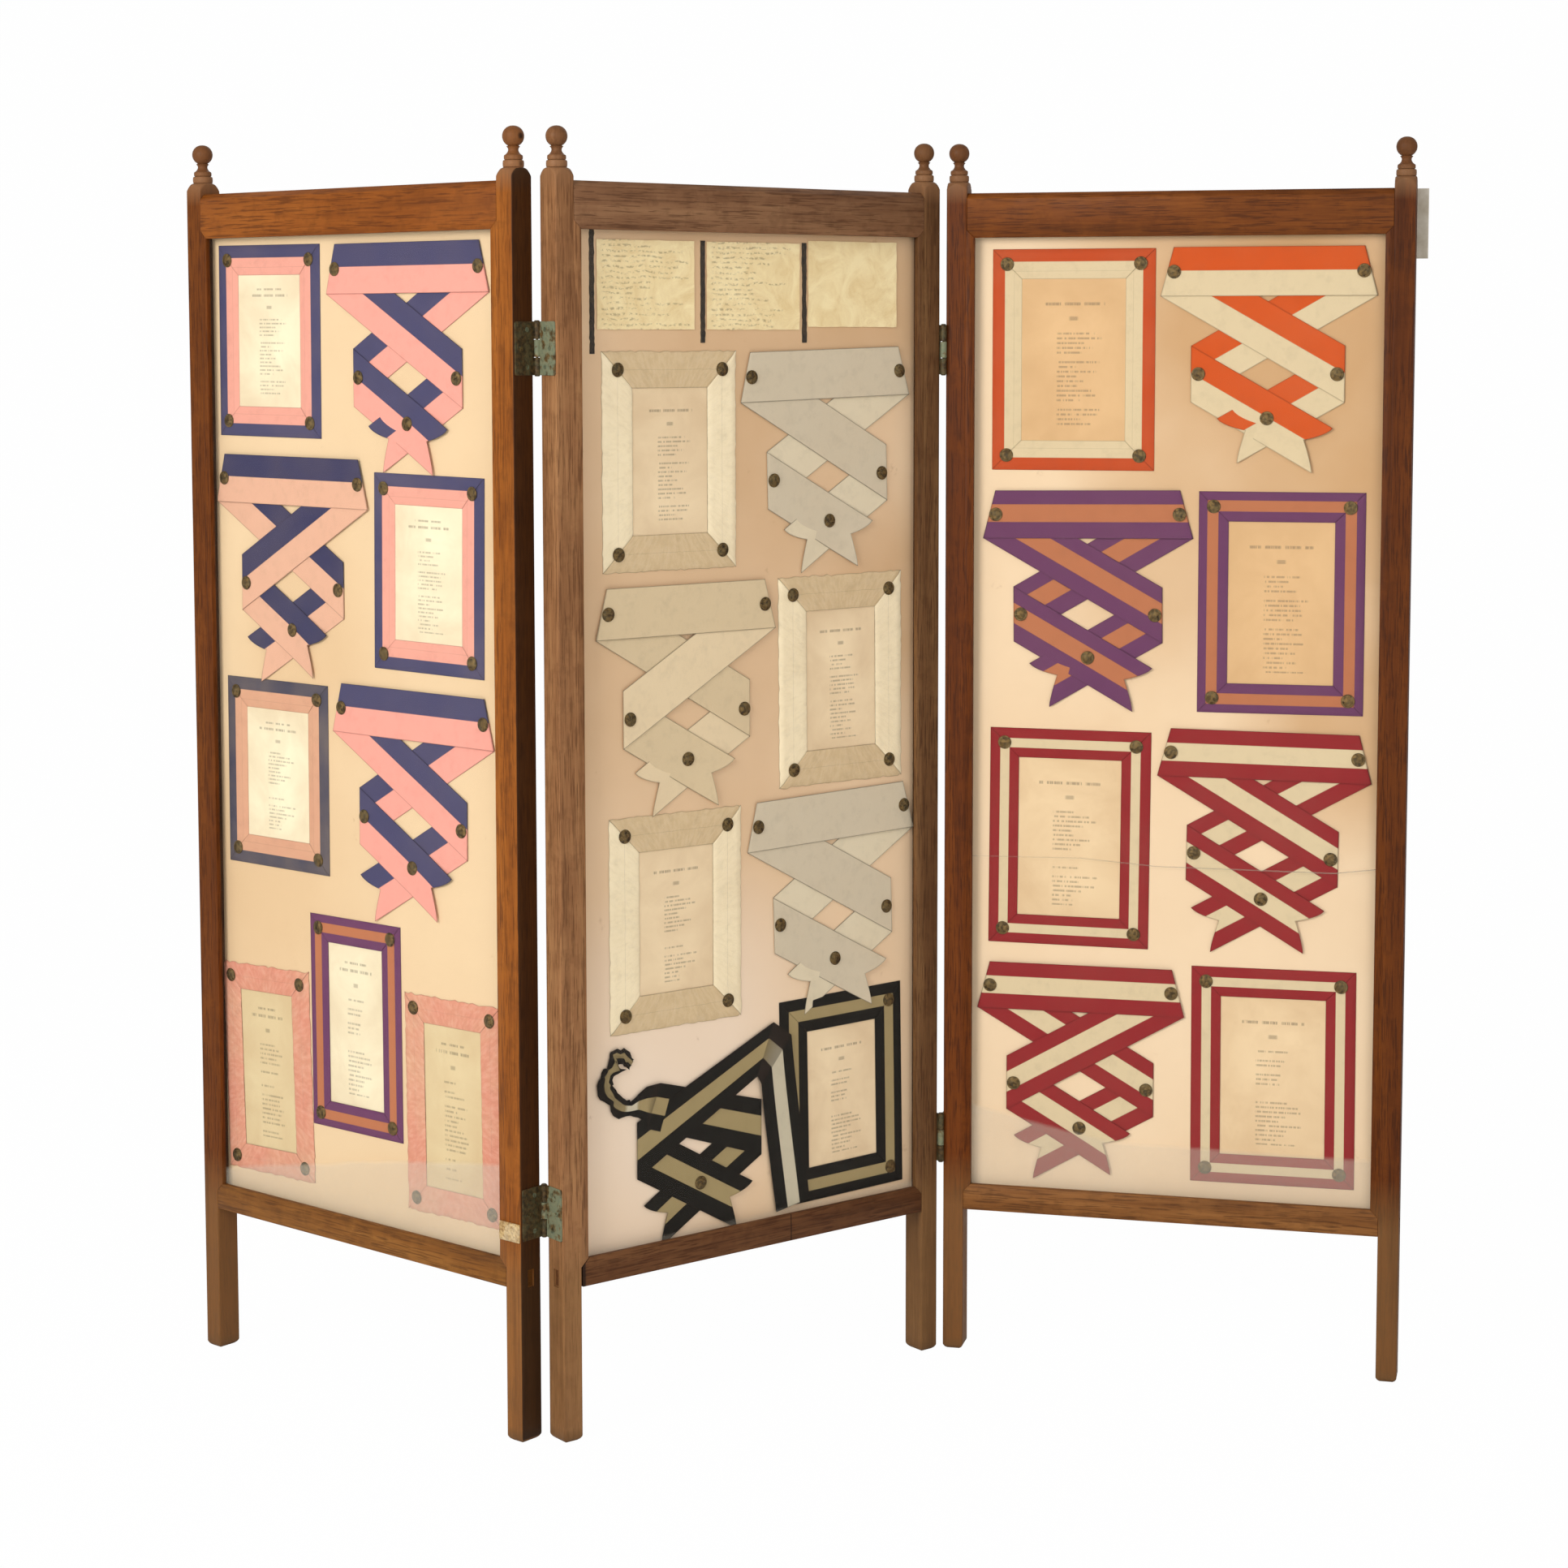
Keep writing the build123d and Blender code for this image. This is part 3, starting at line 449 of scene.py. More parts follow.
@dataclass(frozen=True)
class RibbonDye:
    """Woven ribbon in lengthwise bands of colour.

    Its pattern runs in metres along the ribbon and from 0 to 1 across it. A second pattern holds how much painted shade
    falls near a fold, a mitre or in a crumple, and how far the ribbon has turned to its other colours.

    Attributes:
        name: the finish's name.
        bands: colours from the first edge to the other.
        joins: places across the ribbon where one band meets the next.
        others: the bands' colours where the ribbon has faded or shows its back; on a border's side strips, a painted
            highlight.
        creases: places across the ribbon of pressed lines, darkened with painted shade.
        faded: colour that the ribbon has faded to in patches.
        fading: how far it has faded.
        ruched: whether the weave is puckered across, as gathered ribbon is, with a painted highlight on the puckers'
            crowns and painted shade in their hollows.
        edge: how dark the painted shadow along both its edges is.
    """

    name: str
    bands: tuple[Colour, ...]
    joins: tuple[float, ...] = ()
    others: tuple[Colour, ...] = ()
    creases: tuple[float, ...] = ()
    faded: Colour = srgb(214, 186, 146)
    fading: float = 0.12
    ruched: bool = False
    edge: float = 0.7

    def striped(self, bench: Bench, across: Wire, bands: Sequence[Colour]) -> "Wire | Colour":
        """Colour of the bands at a place across."""
        colour: Wire | Colour = bands[0]
        for join, band in zip(self.joins, bands[1:]):
            colour = bench.mix(across.above(join, 0.012), colour, band)
        return colour

    def material(self) -> bpy.types.Material:
        """The finish's material."""
        bench = Bench(self.name)
        along, across, _ = bench.axes(bench.place("UV"))
        painted_shade, turned, _ = bench.axes(bench.wire(bench.node("ShaderNodeUVMap", {"uv_map": "Shade"})))
        colour = self.striped(bench, across, self.bands)
        if self.others:
            colour = bench.mix(turned.held(), colour, self.striped(bench, across, self.others))
        place = bench.place()
        patches = bench.clouds(place, 9, 4, 0.6)
        colour = bench.mix(patches.above(0.55, 0.3) * self.fading, colour, self.faded)
        threads = bench.sum("SINE", along * 5200.0, 0.0)
        cross_threads = bench.sum("SINE", across * 210.0, 0.0)
        weave = threads * 0.25 + cross_threads * 0.12
        slubs = bench.clouds(bench.place("UV", scale=(420, 9, 1)), 1.0, 2, 0.5)
        # Painted shade along the creases and both edges and near folds, mitres and crumples; a fainter dark line also
        # marks each band join.
        lines = [(self_join, 0.008, 0.3) for self_join in self.joins]
        lines += [(crease, 0.008, 0.45) for crease in self.creases] + [(0.0, 0.02, self.edge), (1.0, 0.02, self.edge)]
        shade = (painted_shade * 0.8).held()
        for middle, half, strength in lines:
            shade = shade + (1 - bench.sum("ABSOLUTE", across - middle, 0.0) / half).held() * strength
        dirt_and_shade = bench.clouds(place, 60, 4, 0.7).above(0.62, 0.25) * 0.1
        colour = bench.mix(dirt_and_shade + (slubs - 0.5) * 0.06, colour, srgb(58, 44, 34))
        colour = bench.mix(shade.held() * 0.7, colour, srgb(44, 32, 26))
        relief = weave + slubs * 0.8
        if self.ruched:
            puckers = bench.clouds(bench.place("UV", scale=(170, 3, 1)), 1.0, 3, 0.6, 0.2)
            relief = relief + puckers * 6.0
            # Painted highlight on the crowns of the puckers and painted shade in their hollows.
            colour = bench.mix(puckers.above(0.58, 0.3) * 0.14, colour, srgb(255, 236, 214))
            colour = bench.mix((0.42 - puckers).above(0.0, 0.2) * 0.07, colour, srgb(150, 104, 76))
        return bench.finish(
            Base_Color=colour,
            Roughness=0.75 + (patches - 0.5) * 0.2,
            Normal=bench.bump(relief, 0.3, 0.00025),
            Specular_IOR_Level=0.12,
        )


@dataclass(frozen=True)
class CardPaper:
    """Old card with faint rows of marks, a heading and a small device, none of which can be read.

    The card's own pattern runs from 0 to 1 across and up; the whole part of its first number tells cards apart.
    """

    name: str
    paper: Colour
    ink: Colour = srgb(96, 84, 66)
    rows: float = 34.0
    stained: float = 0.25
    two_headings: bool = False
    aged: Colour | None = None
    aged_cards: Point = (-0.5, 1.5)

    def material(self) -> bpy.types.Material:
        """The finish's material."""
        bench = Bench(self.name)
        number, up, _ = bench.axes(bench.place("UV"))
        card = number.floor()
        across = number.fraction()
        row = (up * self.rows).floor()
        within = (up * self.rows).fraction()
        middle = bench.sum("ABSOLUTE", across - 0.5, 0.0)
        letters = bench.wire(bench.node("ShaderNodeCombineXYZ", None, {0: across * 62.0, 1: row * 3.7, 2: card * 5.3}))
        words = bench.clouds(letters, 1.0, 2, 0.6)
        inked = within.above(0.3, 0.1) * (0.72 - within).above(0.0, 0.1)
        kept = bench.chance(row, card).above(0.22)
        length = bench.chance(row + 40.0, card) * 0.26 + 0.18
        column = across.above(0.34, 0.01) * (length + 0.34 - across).above(0.0, 0.01)
        text_zone = (0.68 - up).above(0.0) * (up - 0.07).above(0.0)
        text = inked * kept * column * text_zone * words.above(0.46, 0.08)
        capitals = bench.wire(bench.node("ShaderNodeCombineXYZ", None, {0: across * 95.0, 1: card * 9.1, 2: row}))
        broken = bench.clouds(capitals, 1.0, 2, 0.7).above(0.45, 0.1)
        broken = broken * (across * 5.3 + card * 0.37).fraction().above(0.2, 0.04)
        heading = (0.009 - bench.sum("ABSOLUTE", up - 0.845, 0.0)).above(0.0, 0.006) * (0.3 - middle).above(0.0)
        if self.two_headings:
            heading = heading + (0.007 - bench.sum("ABSOLUTE", up - 0.892, 0.0)).above(0.0, 0.005) * (0.2 - middle).above(0.0)
        device = (0.04 - middle).above(0.0, 0.02) * (0.012 - bench.sum("ABSOLUTE", up - 0.755, 0.0)).above(0.0, 0.006)
        marks = (text * 0.62 + heading * broken * 0.75 + device * 0.6).held()
        place = bench.place()
        stains = bench.clouds(place, 11, 5, 0.62, 0.5)
        edges = (middle.above(0.34, 0.3) + bench.sum("ABSOLUTE", up - 0.5, 0.0).above(0.4, 0.2)).held()
        older = card.above(self.aged_cards[0]) * (self.aged_cards[1] - card).above(0.0)
        paper = bench.mix(older, self.paper, self.aged or self.paper)
        colour = bench.mix(stains.above(0.52, 0.3) * self.stained, paper, srgb(176, 128, 78))
        colour = bench.mix(edges * 0.12, colour, srgb(180, 140, 92))
        colour = bench.mix(marks * 0.7, colour, self.ink)
        fibre = bench.clouds(place, 700, 3, 0.6)
        return bench.finish(Base_Color=colour, Roughness=0.82 + fibre * 0.1, Normal=bench.bump(fibre, 0.15, 0.0002))


@dataclass(frozen=True)
class NotePaper:
    """Yellowed notepaper with close faint strokes that form no words."""

    name: str = "yellowed_note_paper"

    def material(self) -> bpy.types.Material:
        """The finish's material."""
        bench = Bench(self.name)
        number, up, _ = bench.axes(bench.place("UV"))
        card = number.floor()
        across = number.fraction()
        rows = up * 17.0 + bench.clouds(bench.place("UV"), 5.0, 1) * 1.2
        row = rows.floor()
        within = rows.fraction()
        strokes = bench.clouds(
            bench.wire(bench.node("ShaderNodeCombineXYZ", None, {0: across * 30.0, 1: row * 5.1, 2: within * 2.0})), 1.0, 3, 0.7
        )
        ends = bench.chance(row, card) * 0.6 + 0.35
        inked = strokes.above(0.53, 0.1) * (0.2 - bench.sum("ABSOLUTE", within - 0.5, 0.0)).above(0.0, 0.2)
        text = inked * (ends - across).above(0.0, 0.02) * across.above(0.05, 0.02) * card.above(-0.5)
        fainter = (1.5 - card).above(0.0) * 0.46
        place = bench.place()
        blots = bench.clouds(place, 26, 5, 0.7, 1.2)
        colour = bench.mix(blots.above(0.52, 0.3) * 0.48, srgb(255, 236, 186), srgb(212, 172, 104))
        colour = bench.mix(bench.clouds(place, 5, 3, 0.6).above(0.5, 0.4) * 0.25, colour, srgb(240, 216, 160))
        colour = bench.mix(text * fainter, colour, srgb(88, 66, 42))
        return bench.finish(Base_Color=colour, Roughness=0.85, Normal=bench.bump(blots, 0.2, 0.0006))


@dataclass(frozen=True)
class MountBoard:
    """Coloured mount board with stains in known places.

    Attributes:
        name: the finish's name.
        stance: how its leaf stands.
        ground: its colour.
        browned: colour that it has gone in broad patches.
        stains: places in shares of the bay, reach in millimetres and strength of the stains.
        stain: colour of the stains.
        unfaded: the same for places that have kept a paler colour.
    """

    name: str
    stance: Stance
    ground: Colour
    browned: Colour
    stains: tuple[tuple[Point, float, float], ...] = ()
    stain: Colour = srgb(192, 144, 90)
    unfaded: tuple[tuple[Point, float, float], ...] = ()

    def material(self) -> bpy.types.Material:
        """The finish's material."""
        bench = Bench(self.name)
        place = bench.place()
        broad = bench.clouds(place, 3.2, 4, 0.55)
        spots = bench.clouds(place, 42, 4, 0.7)
        fine = bench.clouds(place, 320, 3, 0.6)
        colour = bench.mix(broad.above(0.5, 0.5) * 0.45, self.ground, self.browned)
        marks = [(mark, self.stain) for mark in self.stains]
        marks += [(mark, srgb(255, 240, 224)) for mark in self.unfaded]
        for (share, reach, strength), tint in marks:
            x, z = on_mount(share)
            spot = self.stance.matrix() @ Vector((x, MOUNT_FACE, z))
            soft = (bench.near(spot, reach * MM) * 1.6 + (broad - 0.5) * 0.7 - 0.1).held()
            colour = bench.mix(soft * strength, colour, tint)
        colour = bench.mix(spots.above(0.7, 0.06) * 0.2, colour, srgb(160, 112, 70))
        return bench.finish(Base_Color=colour, Roughness=0.9, Normal=bench.bump(fine, 0.12, 0.0003))


@dataclass(frozen=True)
class OldBrass:
    """Aged brass, from dark in its hollows to bare or green on its high places."""

    name: str
    dark: Colour
    bare: Colour
    bloom: Colour
    blooming: float
    metal: float = 0.75
    turn: float = 0.0

    def material(self) -> bpy.types.Material:
        """The finish's material."""
        bench = Bench(self.name)
        place = bench.place()
        wear = bench.clouds(place, 240, 4, 0.65)
        patches = bench.clouds(place, 85, 4, 0.6)
        colour = bench.mix(wear.above(0.5, 0.25), self.dark, self.bare)
        bloom = patches.above(0.56 - self.blooming * 0.2, 0.1) * self.blooming
        colour = bench.mix(bloom, colour, self.bloom)
        return bench.finish(
            Base_Color=colour,
            Metallic=self.metal * (1 - bloom),
            Roughness=0.42 + wear * 0.25 + bloom * 0.2,
            Normal=bench.bump(wear, 0.25, 0.0003),
        )


@dataclass(frozen=True)
class PaneGlass:
    """Old window glass with dust inside its foot and, if it is broken, a crack across it.

    Attributes:
        name: the finish's name.
        stance: how its leaf stands.
        film: how thick the dust is.
        tide: heights of the dust's upper edge in millimetres, at places along the leaf from 0 to 1.
        crack: heights of the crack in millimetres, at places along the leaf from 0 to 1.
    """

    name: str
    stance: Stance
    film: float
    tide: tuple[Point, ...]
    crack: tuple[Point, ...] = ()
    scale: float = 1000.0

    def line(self, bench: Bench, along: Wire, heights: Sequence[Point]) -> Wire:
        """Height in metres of a line across the pane."""
        return bench.curve(along / (LEAF_WIDTH * MM), [(x, z / self.scale) for x, z in heights]) * (self.scale * MM)

    def material(self) -> bpy.types.Material:
        """The finish's material."""
        bench = Bench(self.name)
        along, _, height = bench.leaf_place(self.stance)
        place = bench.place()
        smears = bench.clouds(place, 4, 4, 0.6, 0.6)
        specks = bench.clouds(place, 260, 3, 0.7)
        tide = self.line(bench, along, self.tide) + (smears - 0.5) * 0.012
        film = (tide - height).above(0.0, 0.006) * (0.75 + (specks - 0.5) * 0.6)
        alpha = 0.006 + smears.above(0.62, 0.2) * 0.006 + film * self.film
        colour: Wire | Colour = srgb(232, 224, 206)
        if self.crack:
            off = bench.sum("ABSOLUTE", height - self.line(bench, along, self.crack), 0.0)
            split = (1 - off / 0.0008).held()
            alpha = alpha + split * (along * 0.9 + 0.1)
            colour = bench.mix(split, colour, srgb(96, 80, 60))
        return bench.finish(Base_Color=colour, Roughness=0.08, Alpha=alpha, IOR=1.5)


@dataclass(frozen=True)
class PlainPaint:
    """A plain matt surface with a little unevenness of colour."""

    name: str
    colour: Colour
    second: Colour
    scale: float = 60.0
    roughness: float = 0.8

    def material(self) -> bpy.types.Material:
        """The finish's material."""
        bench = Bench(self.name)
        cloud = bench.clouds(bench.place(), self.scale, 4, 0.6)
        colour = bench.mix(cloud.above(0.5, 0.4), self.colour, self.second)
        return bench.finish(
            Base_Color=colour, Roughness=self.roughness + (cloud - 0.5) * 0.1, Normal=bench.bump(cloud, 0.2, 0.0003)
        )


Finish = Wood | RibbonDye | CardPaper | NotePaper | MountBoard | OldBrass | PaneGlass | PlainPaint
_made: dict[str, bpy.types.Material] = {}


def material_of(finish: Finish) -> bpy.types.Material:
    """The finish's material, made once."""
    if finish.name not in _made:
        _made[finish.name] = finish.material()
    return _made[finish.name]


NAVY = srgb(70, 68, 101)
PINK = srgb(236, 160, 145)
PURPLE = srgb(105, 59, 95)
COPPER = srgb(184, 114, 78)
ORANGE = srgb(206, 82, 26)
CREAM = srgb(218, 198, 160)
CRIMSON = srgb(144, 36, 40)
IVORY = srgb(255, 238, 200)
GREY_WHITE = srgb(214, 200, 174)
BLACK = srgb(25, 23, 20)
STRAW = srgb(166, 147, 104)


class Dye(Enum):
    """Ribbons by their bands of colour."""

    NAVY_PINK = RibbonDye("navy_and_pink_ribbon", (NAVY, PINK), (0.46,), fading=0.03)
    NAVY_PINK_BORDER = RibbonDye("navy_and_pink_border", (NAVY, srgb(230, 160, 142)), (0.42,), (), (0.74,), fading=0.06)
    NAVY_SALMON = RibbonDye("navy_and_salmon_ribbon", (srgb(56, 55, 88), srgb(222, 172, 144)), (0.46,), fading=0.05)
    FADED_BORDER = RibbonDye(
        "faded_navy_border", (srgb(70, 68, 84), srgb(212, 158, 128)), (0.42,), (), (0.74,), fading=0.16
    )
    PURPLE_COPPER = RibbonDye("purple_and_copper_ribbon", (PURPLE, COPPER, PURPLE), (0.29, 0.66), fading=0.02)
    ORANGE_CREAM = RibbonDye("orange_and_cream_ribbon", (ORANGE, CREAM), (0.48,), fading=0.04)
    ORANGE_CREAM_BORDER = RibbonDye(
        "orange_and_cream_border", (srgb(192, 74, 32), CREAM), (0.42,), (), (0.74,), fading=0.05
    )
    CRIMSON_CREAM = RibbonDye("crimson_and_cream_ribbon", (CRIMSON, CREAM, CRIMSON), (0.30, 0.68), fading=0.02)
    CRIMSON_CREAM_BORDER = RibbonDye("crimson_and_cream_border", (CRIMSON, CREAM, CRIMSON), (0.35, 0.67), fading=0.02)
    BLACK_STRAW = RibbonDye(
        "black_and_straw_ribbon", (BLACK, STRAW, BLACK), (0.30, 0.66), (BLACK, srgb(206, 196, 170), BLACK), fading=0.0
    )
    BLACK_STRAW_BORDER = RibbonDye("black_and_straw_border", (BLACK, STRAW, BLACK), (0.32, 0.66), fading=0.0)
    # Its other colour is a painted highlight on the side strips of its borders.
    IVORY = RibbonDye("ivory_ribbon", (srgb(218, 192, 150),), (), (IVORY,), (0.5,), fading=0.2, ruched=True)
    GREY_WHITE = RibbonDye("grey_white_ribbon", (GREY_WHITE,), (), (srgb(230, 216, 186),), fading=0.1, edge=1.0)
    OLD_IVORY = RibbonDye("old_ivory_ribbon", (srgb(222, 200, 162),), (), (srgb(236, 214, 176),), fading=0.1, edge=1.0)
    OLD_PINK = RibbonDye("faded_pink_ribbon", (srgb(216, 142, 118),), (), (), (0.5,), fading=0.4, ruched=True)


# Meshes


@dataclass
class Draft:
    """A mesh in the making, in leaf millimetres."""

    points: list[tuple[float, float, float]] = field(default_factory=list)
    faces: list[tuple[int, ...]] = field(default_factory=list)
    uvs: dict[int, Point] = field(default_factory=dict)
    shades: dict[int, Point] = field(default_factory=dict)

    def rows(self, rows: Sequence[Sequence[Sequence[float]]], closed: bool = False) -> int:
        """Adds a grid of quads through rows of points.

        Args:
            rows: rows of the same number of points.
            closed: whether each row closes into a ring.

        Returns:
            Number of the first point.
        """
        start = len(self.points)
        wide = len(rows[0])
        for row in rows:
            self.points.extend(tuple(point) for point in row)
        for low in range(len(rows) - 1):
            for column in range(wide if closed else wide - 1):
                following = (column + 1) % wide
                first = start + low * wide
                self.faces.append(
                    (first + column, first + following, first + wide + following, first + wide + column)
                )
        return start

    def fan(self, ring: Sequence[int]) -> None:
        """Closes a ring of points with one face."""
        self.faces.append(tuple(ring))

    def prism(self, outline: Sequence[Point], front: float, back: float) -> None:
        """Adds a solid with this front view between two depths."""
        count = len(outline)
        start = self.rows([[(x, y, z) for x, z in outline] for y in (front, back)], closed=True)
        self.fan(range(start, start + count))
        self.fan(range(start + count, start + 2 * count))

    def turned(self, profile: Sequence[Point], sides: int, centre: Sequence[float], axis: str = "Z") -> None:
        """Adds a closed turned form.

        Args:
            profile: radii and heights from the foot to the crown; ends off the axis are closed flat.
            sides: number of sides round.
            centre: where its height 0 stands.
            axis: Z for upright, Y for a form whose heights point to the front.
        """
        rings = []
        for radius, height in profile:
            ring = []
            for side in range(sides):
                turn = 2 * math.pi * side / sides
                across, other = max(radius, 0.02) * math.cos(turn), max(radius, 0.02) * math.sin(turn)
                if axis == "Z":
                    ring.append((centre[0] + across, centre[1] + other, centre[2] + height))
                else:
                    ring.append((centre[0] + across, centre[1] - height, centre[2] + other))
            rings.append(ring)
        start = self.rows(rings, closed=True)
        self.fan(range(start, start + sides))
        last = start + (len(rings) - 1) * sides
        self.fan(range(last, last + sides))

    def mesh(self, name: str, stance: Stance, keep_open: bool = False) -> bpy.types.Object:
        """Makes the object, in metres where its leaf stands.

        Args:
            name: the piece's name.
            stance: where its leaf stands.
            keep_open: whether it is an open sheet, whose faces are left as they are.

        Returns:
            The object, at the origin with its place in its mesh.
        """
        to_floor = stance.matrix()
        data = bpy.data.meshes.new(name)
        data.from_pydata([to_floor @ Vector(point) for point in self.points], [], self.faces)
        if self.uvs:
            layer = data.uv_layers.new(name="UVMap")
            for loop in data.loops:
                layer.data[loop.index].uv = self.uvs[loop.vertex_index]
        if self.shades:
            layer = data.uv_layers.new(name="Shade")
            for loop in data.loops:
                layer.data[loop.index].uv = self.shades[loop.vertex_index]
        made = bpy.data.objects.new(name, data)
        bpy.context.scene.collection.objects.link(made)
        if not keep_open:
            face_outwards(made)
        return made


def face_outwards(piece: bpy.types.Object) -> None:
    """Merges a closed mesh's doubles and turns its faces out."""
    draft = bmesh.new()
    draft.from_mesh(piece.data)
    bmesh.ops.remove_doubles(draft, verts=draft.verts, dist=2e-6)
    bmesh.ops.recalc_face_normals(draft, faces=draft.faces)
    draft.to_mesh(piece.data)
    draft.free()


def settle(piece: bpy.types.Object) -> None:
    """Makes a piece's modifiers part of its mesh."""
    shown = piece.evaluated_get(bpy.context.evaluated_depsgraph_get())
    data = bpy.data.meshes.new_from_object(shown)
    piece.modifiers.clear()
    piece.data = data


def smooth(piece: bpy.types.Object, sharp_above: float = 35.0) -> None:
    """Shades a piece smooth but for edges sharper than an angle in degrees."""
    piece.data.shade_smooth()
    piece.data.set_sharp_from_angle(angle=math.radians(sharp_above))


@dataclass
class Workshop:
    """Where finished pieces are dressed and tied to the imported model."""

    nodes: dict[str, bpy.types.Object]

    def dress(self, piece: bpy.types.Object, finish: Finish) -> None:
        """Gives a piece one finish all over."""
        piece.data.materials.clear()
        piece.data.materials.append(material_of(finish))

    def keep(self, node: str, finish: Finish) -> None:
        """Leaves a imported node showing, in a better finish."""
        piece = self.nodes[node]
        if not piece.material_slots:
            piece.data.materials.append(material_of(finish))
        for slot in piece.material_slots:
            slot.material = material_of(finish)

    def hand_over(
        self, piece: bpy.types.Object, body: str, slot: str, finish: Finish | None, replaced: Iterable[str] = ()
    ) -> bpy.types.Object:
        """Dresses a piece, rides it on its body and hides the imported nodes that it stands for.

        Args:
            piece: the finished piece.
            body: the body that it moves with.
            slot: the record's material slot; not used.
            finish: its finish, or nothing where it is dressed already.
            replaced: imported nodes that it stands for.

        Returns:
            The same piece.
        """
        if finish is not None:
            self.dress(piece, finish)
        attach(piece, body)
        for node in replaced:
            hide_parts(node)
        log.info("%s rides on %s", piece.name, body)
        return piece

    def eased(self, node: str, width: float, name: str) -> bpy.types.Object:
        """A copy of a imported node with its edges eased.

        Args:
            node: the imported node.
            width: how far each edge is eased, in millimetres.
            name: the piece's name.

        Returns:
            The eased copy.
        """
        draft = bmesh.new()
        draft.from_mesh(self.nodes[node].data)
        bmesh.ops.remove_doubles(draft, verts=draft.verts, dist=1e-6)
        bmesh.ops.dissolve_limit(draft, angle_limit=math.radians(0.5), verts=draft.verts, edges=draft.edges)
        data = bpy.data.meshes.new(name)
        draft.to_mesh(data)
        draft.free()
        piece = bpy.data.objects.new(name, data)
        bpy.context.scene.collection.objects.link(piece)
        bevel = piece.modifiers.new("eased", "BEVEL")
        bevel.width = width * MM
        bevel.segments = 2
        bevel.limit_method = "ANGLE"
        bevel.angle_limit = math.radians(25)
        bevel.use_clamp_overlap = True
        settle(piece)
        smooth(piece, 40)
        return piece


# Posts and rails


OAK_TONES = {
    Leaf.LEFT: (srgb(92, 50, 18), srgb(136, 78, 28), srgb(166, 102, 42)),
    Leaf.MIDDLE: (srgb(86, 54, 32), srgb(126, 86, 56), srgb(156, 114, 77)),
    Leaf.RIGHT: (srgb(72, 38, 14), srgb(110, 62, 24), srgb(138, 84, 38)),
}
# Tints matched part by part to how each part looked: besides its own darkening and fading, each holds painted light and
# shade, such as the lit left post of the middle leaf and the shaded left post of the left leaf.
OAK_TINTS = {
    (Leaf.LEFT, "left_post"): (0.52, 0.43, 0.32),
    (Leaf.LEFT, "right_post"): (1.08, 1.02, 0.8),
    (Leaf.LEFT, "top_rail"): (0.92, 0.82, 0.66),
    (Leaf.LEFT, "bottom_rail"): (0.86, 1.05, 1.3),
    (Leaf.MIDDLE, "left_post"): (1.4, 1.42, 1.36),
    (Leaf.MIDDLE, "right_post"): (0.66, 0.66, 0.58),
    (Leaf.MIDDLE, "top_rail"): (0.96, 1.0, 1.1),
    (Leaf.MIDDLE, "bottom_rail"): (0.58, 0.5, 0.42),
    (Leaf.RIGHT, "left_post"): (0.75, 0.55, 0.2),
    (Leaf.RIGHT, "right_post"): (0.65, 0.48, 0.17),
    (Leaf.RIGHT, "top_rail"): (1.02, 0.88, 0.56),
    (Leaf.RIGHT, "bottom_rail"): (1.3, 1.6, 2.1),
}


def oak(leaf: Leaf, part: str) -> Wood:
    """Oak of one part of a leaf's frame, whose tint holds its own darkening and fading and also painted light and
    shade.
    """
    tint = OAK_TINTS[leaf, part]
    tones = (tuple(min(1.0, value * share) for value, share in zip(tone, tint)) for tone in OAK_TONES[leaf])
    gaps = ((28.5, 5.0), (348.0, 1.1)) if (leaf, part) == (Leaf.MIDDLE, "bottom_rail") else ()
    upright = part.endswith("post")
    # Only the left leaf's right post takes painted shade on its side face in the hinge gap.
    dirt_and_shade = 0.82 if (leaf, part) == (Leaf.LEFT, "right_post") else 0.0
    return Wood(
        f"{leaf.body}_{part}_oak",
        leaf.value.turn,
        upright,
        *tones,
        grimy=upright,
        stance=leaf.value,
        gaps=gaps,
        soiled_edge=dirt_and_shade,
    )


